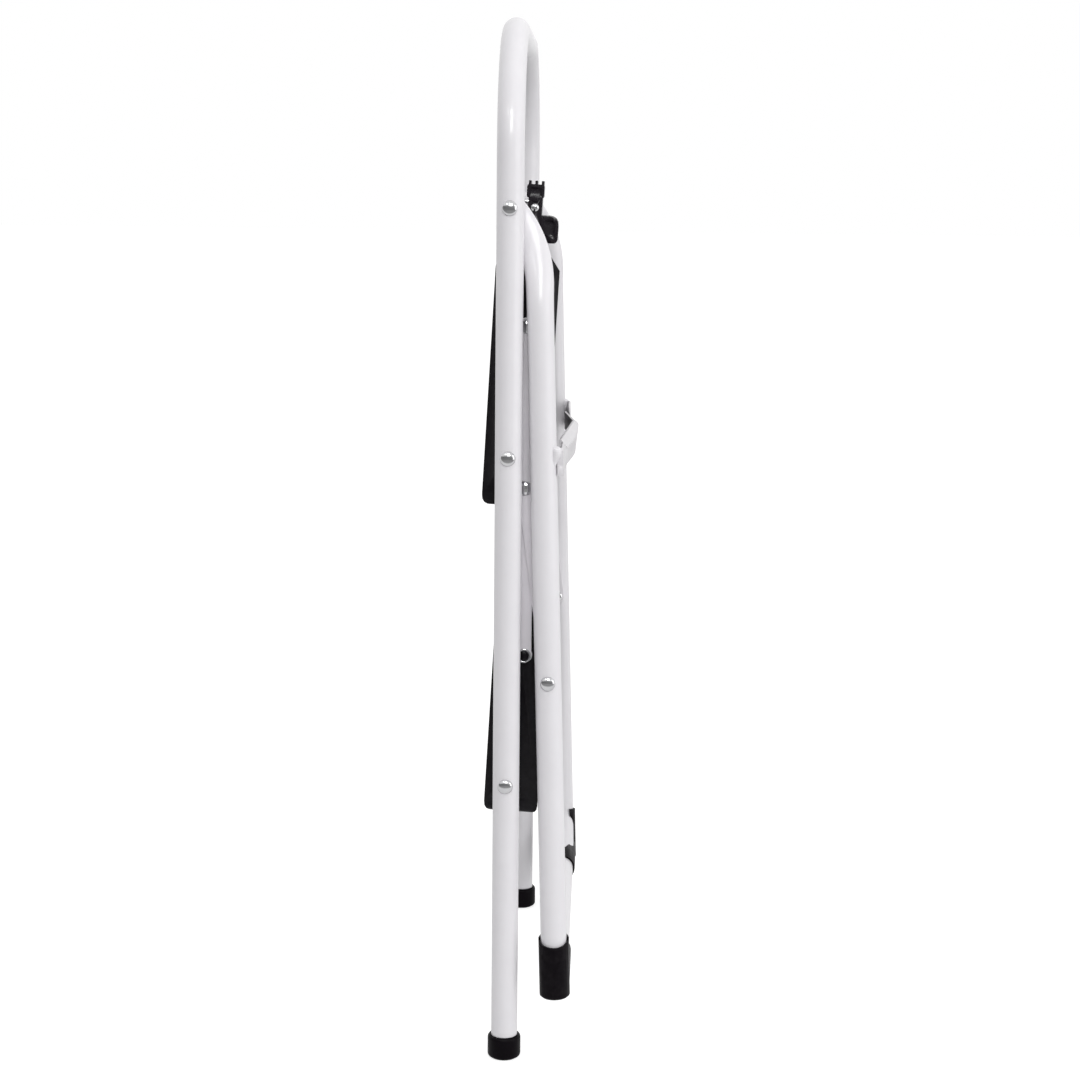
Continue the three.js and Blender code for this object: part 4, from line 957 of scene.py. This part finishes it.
def shoulder_mesh(name, side):
    """The crossbar's end, pressed up to full height where it meets the leg, following the bow of the web."""
    back = REAR["offset"] + REAR["radius"] + GAP + CROSSBAR["stand_off"]
    bottom = FOLD_AXIS[1] - axis_of("upper_tread_rivet_right")[1] + CROSSBAR["below_tread"]
    flat, bowed = CROSSBAR["flat_share"] * REAR_HALF, CROSSBAR["bow_share"] * REAR_HALF
    form = bmesh.new()
    rings = []
    for x in spaced(SHOULDER["outer"], SHOULDER["inner"], 30):
        y = back + CROSSBAR["bow"] * (1 - ease_between(x, flat, bowed))
        low = SHOULDER["low"] - bottom
        high = SHOULDER["high"] - bottom - SHOULDER["fall"] * ease_between(x, SHOULDER["full"], SHOULDER["inner"])
        high -= SHOULDER["end_fall"] * ease_between(x, SHOULDER["end_start"], SHOULDER["outer"])
        inner = y + 0.1 - SHOULDER["lap"] * ease_between(x, SHOULDER["lap_start"], SHOULDER["lap_end"])
        ring = [(inner, low), (y + 1.9, low), (y + 1.95, high - 0.9), (y + 1.6, high - 0.25), (y + 1.05, high),
                (inner + 0.35, high - 0.25), (inner, high - 0.9)]
        rings.append([Vector((side * x, a, b)) for a, b in ring])
    skin(form, rings)
    return mesh_of(form, name, 50, rear_place)


for label, side in SIDES:
    name = "crossbar_shoulder_" + label
    new_piece(name, shoulder_mesh(name, side), "frame_paint", CROSSBAR_FINISH_WITH_PAINTED_SHADE, body="rear_frame")
    name = "crossbar_weld_" + label
    new_piece(name, weld_mesh(name, side), "frame_paint", PAINT, body="rear_frame")


# Stage, lights and camera

WHITE = (1, 1, 1, 1)
STAGE = {"half": 30, "paper": 0.58, "speckle": 0.60, "beyond": 0.3, "seen": 0.66, "mirrored": 0.3}
ROOM = {"level": 0.99, "x": 0.10, "y": 0.13, "z": 0.22, "dark": 0.6}
LAMP_AIM = (0, 0, 0.45)
LAMP_DISTANCE = 2.8
# Name, azimuth, elevation, size in metres and power in watts
LAMPS = (("front", 5, 30, 0.9, 24), ("right", 62, 10, 2.2, 24), ("left", -25, 36, 0.35, 3))
CAMERA = {
    "place": (1885.680, 59.936, 749.173), "down": 9.82785, "swing": 1.68504, "roll": -0.59408,
    "lens": 68.867, "sensor": 36,
}


def grey(level):
    return (level, level, level, 1)


def stage():
    mesh = bpy.data.meshes.new("floor")
    form = bmesh.new()
    bmesh.ops.create_grid(form, x_segments=8, y_segments=8, size=STAGE["half"])
    form.to_mesh(mesh)
    form.free()
    floor = bpy.data.objects.new("floor", mesh)
    bpy.context.scene.collection.objects.link(floor)
    material = bpy.data.materials.new("floor_white")
    material.use_nodes = True
    tree = material.node_tree
    shader = tree.nodes["Principled BSDF"]
    speckle = ramp(tree, noise(tree, 60, 3, 0.5), 0.3, 0.7)
    paper = mix_colour(tree, speckle, grey(STAGE["paper"]), grey(STAGE["speckle"]))
    coordinates = tree.nodes.new("ShaderNodeTexCoord")
    parts = tree.nodes.new("ShaderNodeSeparateXYZ")
    link(tree, coordinates.outputs["Object"], parts.inputs[0])
    path = tree.nodes.new("ShaderNodeLightPath")
    unseen = maths(tree, "SUBTRACT", 1, path.outputs["Is Camera Ray"])
    past = maths(tree, "MULTIPLY", ramp(tree, parts.outputs["X"], 0.7, 1.0), unseen)
    link(tree, mix_colour(tree, past, paper, grey(STAGE["beyond"])), shader.inputs["Base Color"])
    shader.inputs["Roughness"].default_value = 0.9
    shader.inputs["Specular IOR Level"].default_value = 0
    seen = maths(tree, "MAXIMUM", path.outputs["Is Camera Ray"], path.outputs["Is Transmission Ray"])
    mirrored = maths(tree, "MULTIPLY", path.outputs["Is Glossy Ray"], maths(tree, "SUBTRACT", 1, past))
    seen = maths(tree, "ADD", maths(tree, "MULTIPLY", seen, STAGE["seen"]),
                 maths(tree, "MULTIPLY", mirrored, STAGE["mirrored"]))
    shader.inputs["Emission Color"].default_value = WHITE
    link(tree, seen, shader.inputs["Emission Strength"])
    mesh.materials.append(material)


def soft_lamp(name, azimuth, elevation, size, power):
    """A square soft lamp, placed by its direction from the point that the lamps aim at."""
    turn, rise = math.radians(azimuth), math.radians(elevation)
    away = Vector((math.cos(turn) * math.cos(rise), math.sin(turn) * math.cos(rise), math.sin(rise)))
    data = bpy.data.lights.new(name, "AREA")
    data.shape = "SQUARE"
    data.size = size
    data.energy = power
    lamp = bpy.data.objects.new(name, data)
    lamp.location = Vector(LAMP_AIM) + away * LAMP_DISTANCE
    lamp.rotation_euler = (-away).to_track_quat("-Z", "Y").to_euler()
    bpy.context.scene.collection.objects.link(lamp)


def surroundings():
    """An even pale room that is darker at eye level on the camera's side, and white where it is seen."""
    world = bpy.data.worlds.new("studio")
    bpy.context.scene.world = world
    world.use_nodes = True
    tree = world.node_tree
    tree.nodes.clear()
    out = tree.nodes.new("ShaderNodeOutputWorld")
    seen, light = tree.nodes.new("ShaderNodeBackground"), tree.nodes.new("ShaderNodeBackground")
    direction = tree.nodes.new("ShaderNodeTexCoord").outputs["Generated"]
    parts = tree.nodes.new("ShaderNodeSeparateXYZ")
    link(tree, direction, parts.inputs[0])
    band = ramp(tree, maths(tree, "ABSOLUTE", parts.outputs["Z"]), 0.45, 0.2)
    near = ramp(tree, parts.outputs["X"], -0.5, -0.1)
    dark = maths(tree, "MULTIPLY", band, near)
    seen.inputs["Strength"].default_value = 1.0
    seen.inputs["Color"].default_value = WHITE
    even = maths(tree, "ADD", ROOM["level"], maths(tree, "MULTIPLY", parts.outputs["Y"], ROOM["y"]))
    even = maths(tree, "SUBTRACT", even, maths(tree, "MULTIPLY", parts.outputs["X"], ROOM["x"]))
    even = maths(tree, "SUBTRACT", even, maths(tree, "MULTIPLY", parts.outputs["Z"], ROOM["z"]))
    even = maths(tree, "SUBTRACT", even, maths(tree, "MULTIPLY", dark, ROOM["dark"]))
    link(tree, even, light.inputs["Strength"])
    light.inputs["Color"].default_value = WHITE
    path = tree.nodes.new("ShaderNodeLightPath")
    clear = maths(tree, "MAXIMUM", path.outputs["Is Camera Ray"], path.outputs["Is Transmission Ray"])
    shown = maths(tree, "MULTIPLY", path.outputs["Is Glossy Ray"], maths(tree, "SUBTRACT", 1, dark))
    clear = maths(tree, "MAXIMUM", clear, shown)
    mix = tree.nodes.new("ShaderNodeMixShader")
    link(tree, clear, mix.inputs["Fac"])
    link(tree, light.outputs[0], mix.inputs[1])
    link(tree, seen.outputs[0], mix.inputs[2])
    link(tree, mix.outputs[0], out.inputs["Surface"])


stage()
surroundings()
for lamp in LAMPS:
    soft_lamp(*lamp)


def camera():
    """The photograph's view: from the right and a little above, turned and rolled by small angles."""
    ahead, right, up = Vector((-1, 0, 0)), Vector((0, 1, 0)), Vector((0, 0, 1))
    swing = Matrix.Rotation(math.radians(CAMERA["swing"]), 3, "Z")
    ahead, right = swing @ ahead, swing @ right
    dip = Matrix.Rotation(math.radians(-CAMERA["down"]), 3, right)
    ahead, up = dip @ ahead, dip @ up
    roll = Matrix.Rotation(math.radians(CAMERA["roll"]), 3, ahead)
    right, up = roll @ right, roll @ up
    data = bpy.data.cameras.new("camera")
    data.lens = CAMERA["lens"]
    data.sensor_width = CAMERA["sensor"]
    data.clip_end = 100
    eye = bpy.data.objects.new("camera", data)
    eye.matrix_world = Matrix.Translation(Vector(CAMERA["place"]) * MM) @ Matrix(
        [[right[i], up[i], -ahead[i]] for i in range(3)]).to_4x4()
    bpy.context.scene.collection.objects.link(eye)
    bpy.context.scene.camera = eye


camera()
bpy.context.scene.view_settings.view_transform = "Standard"
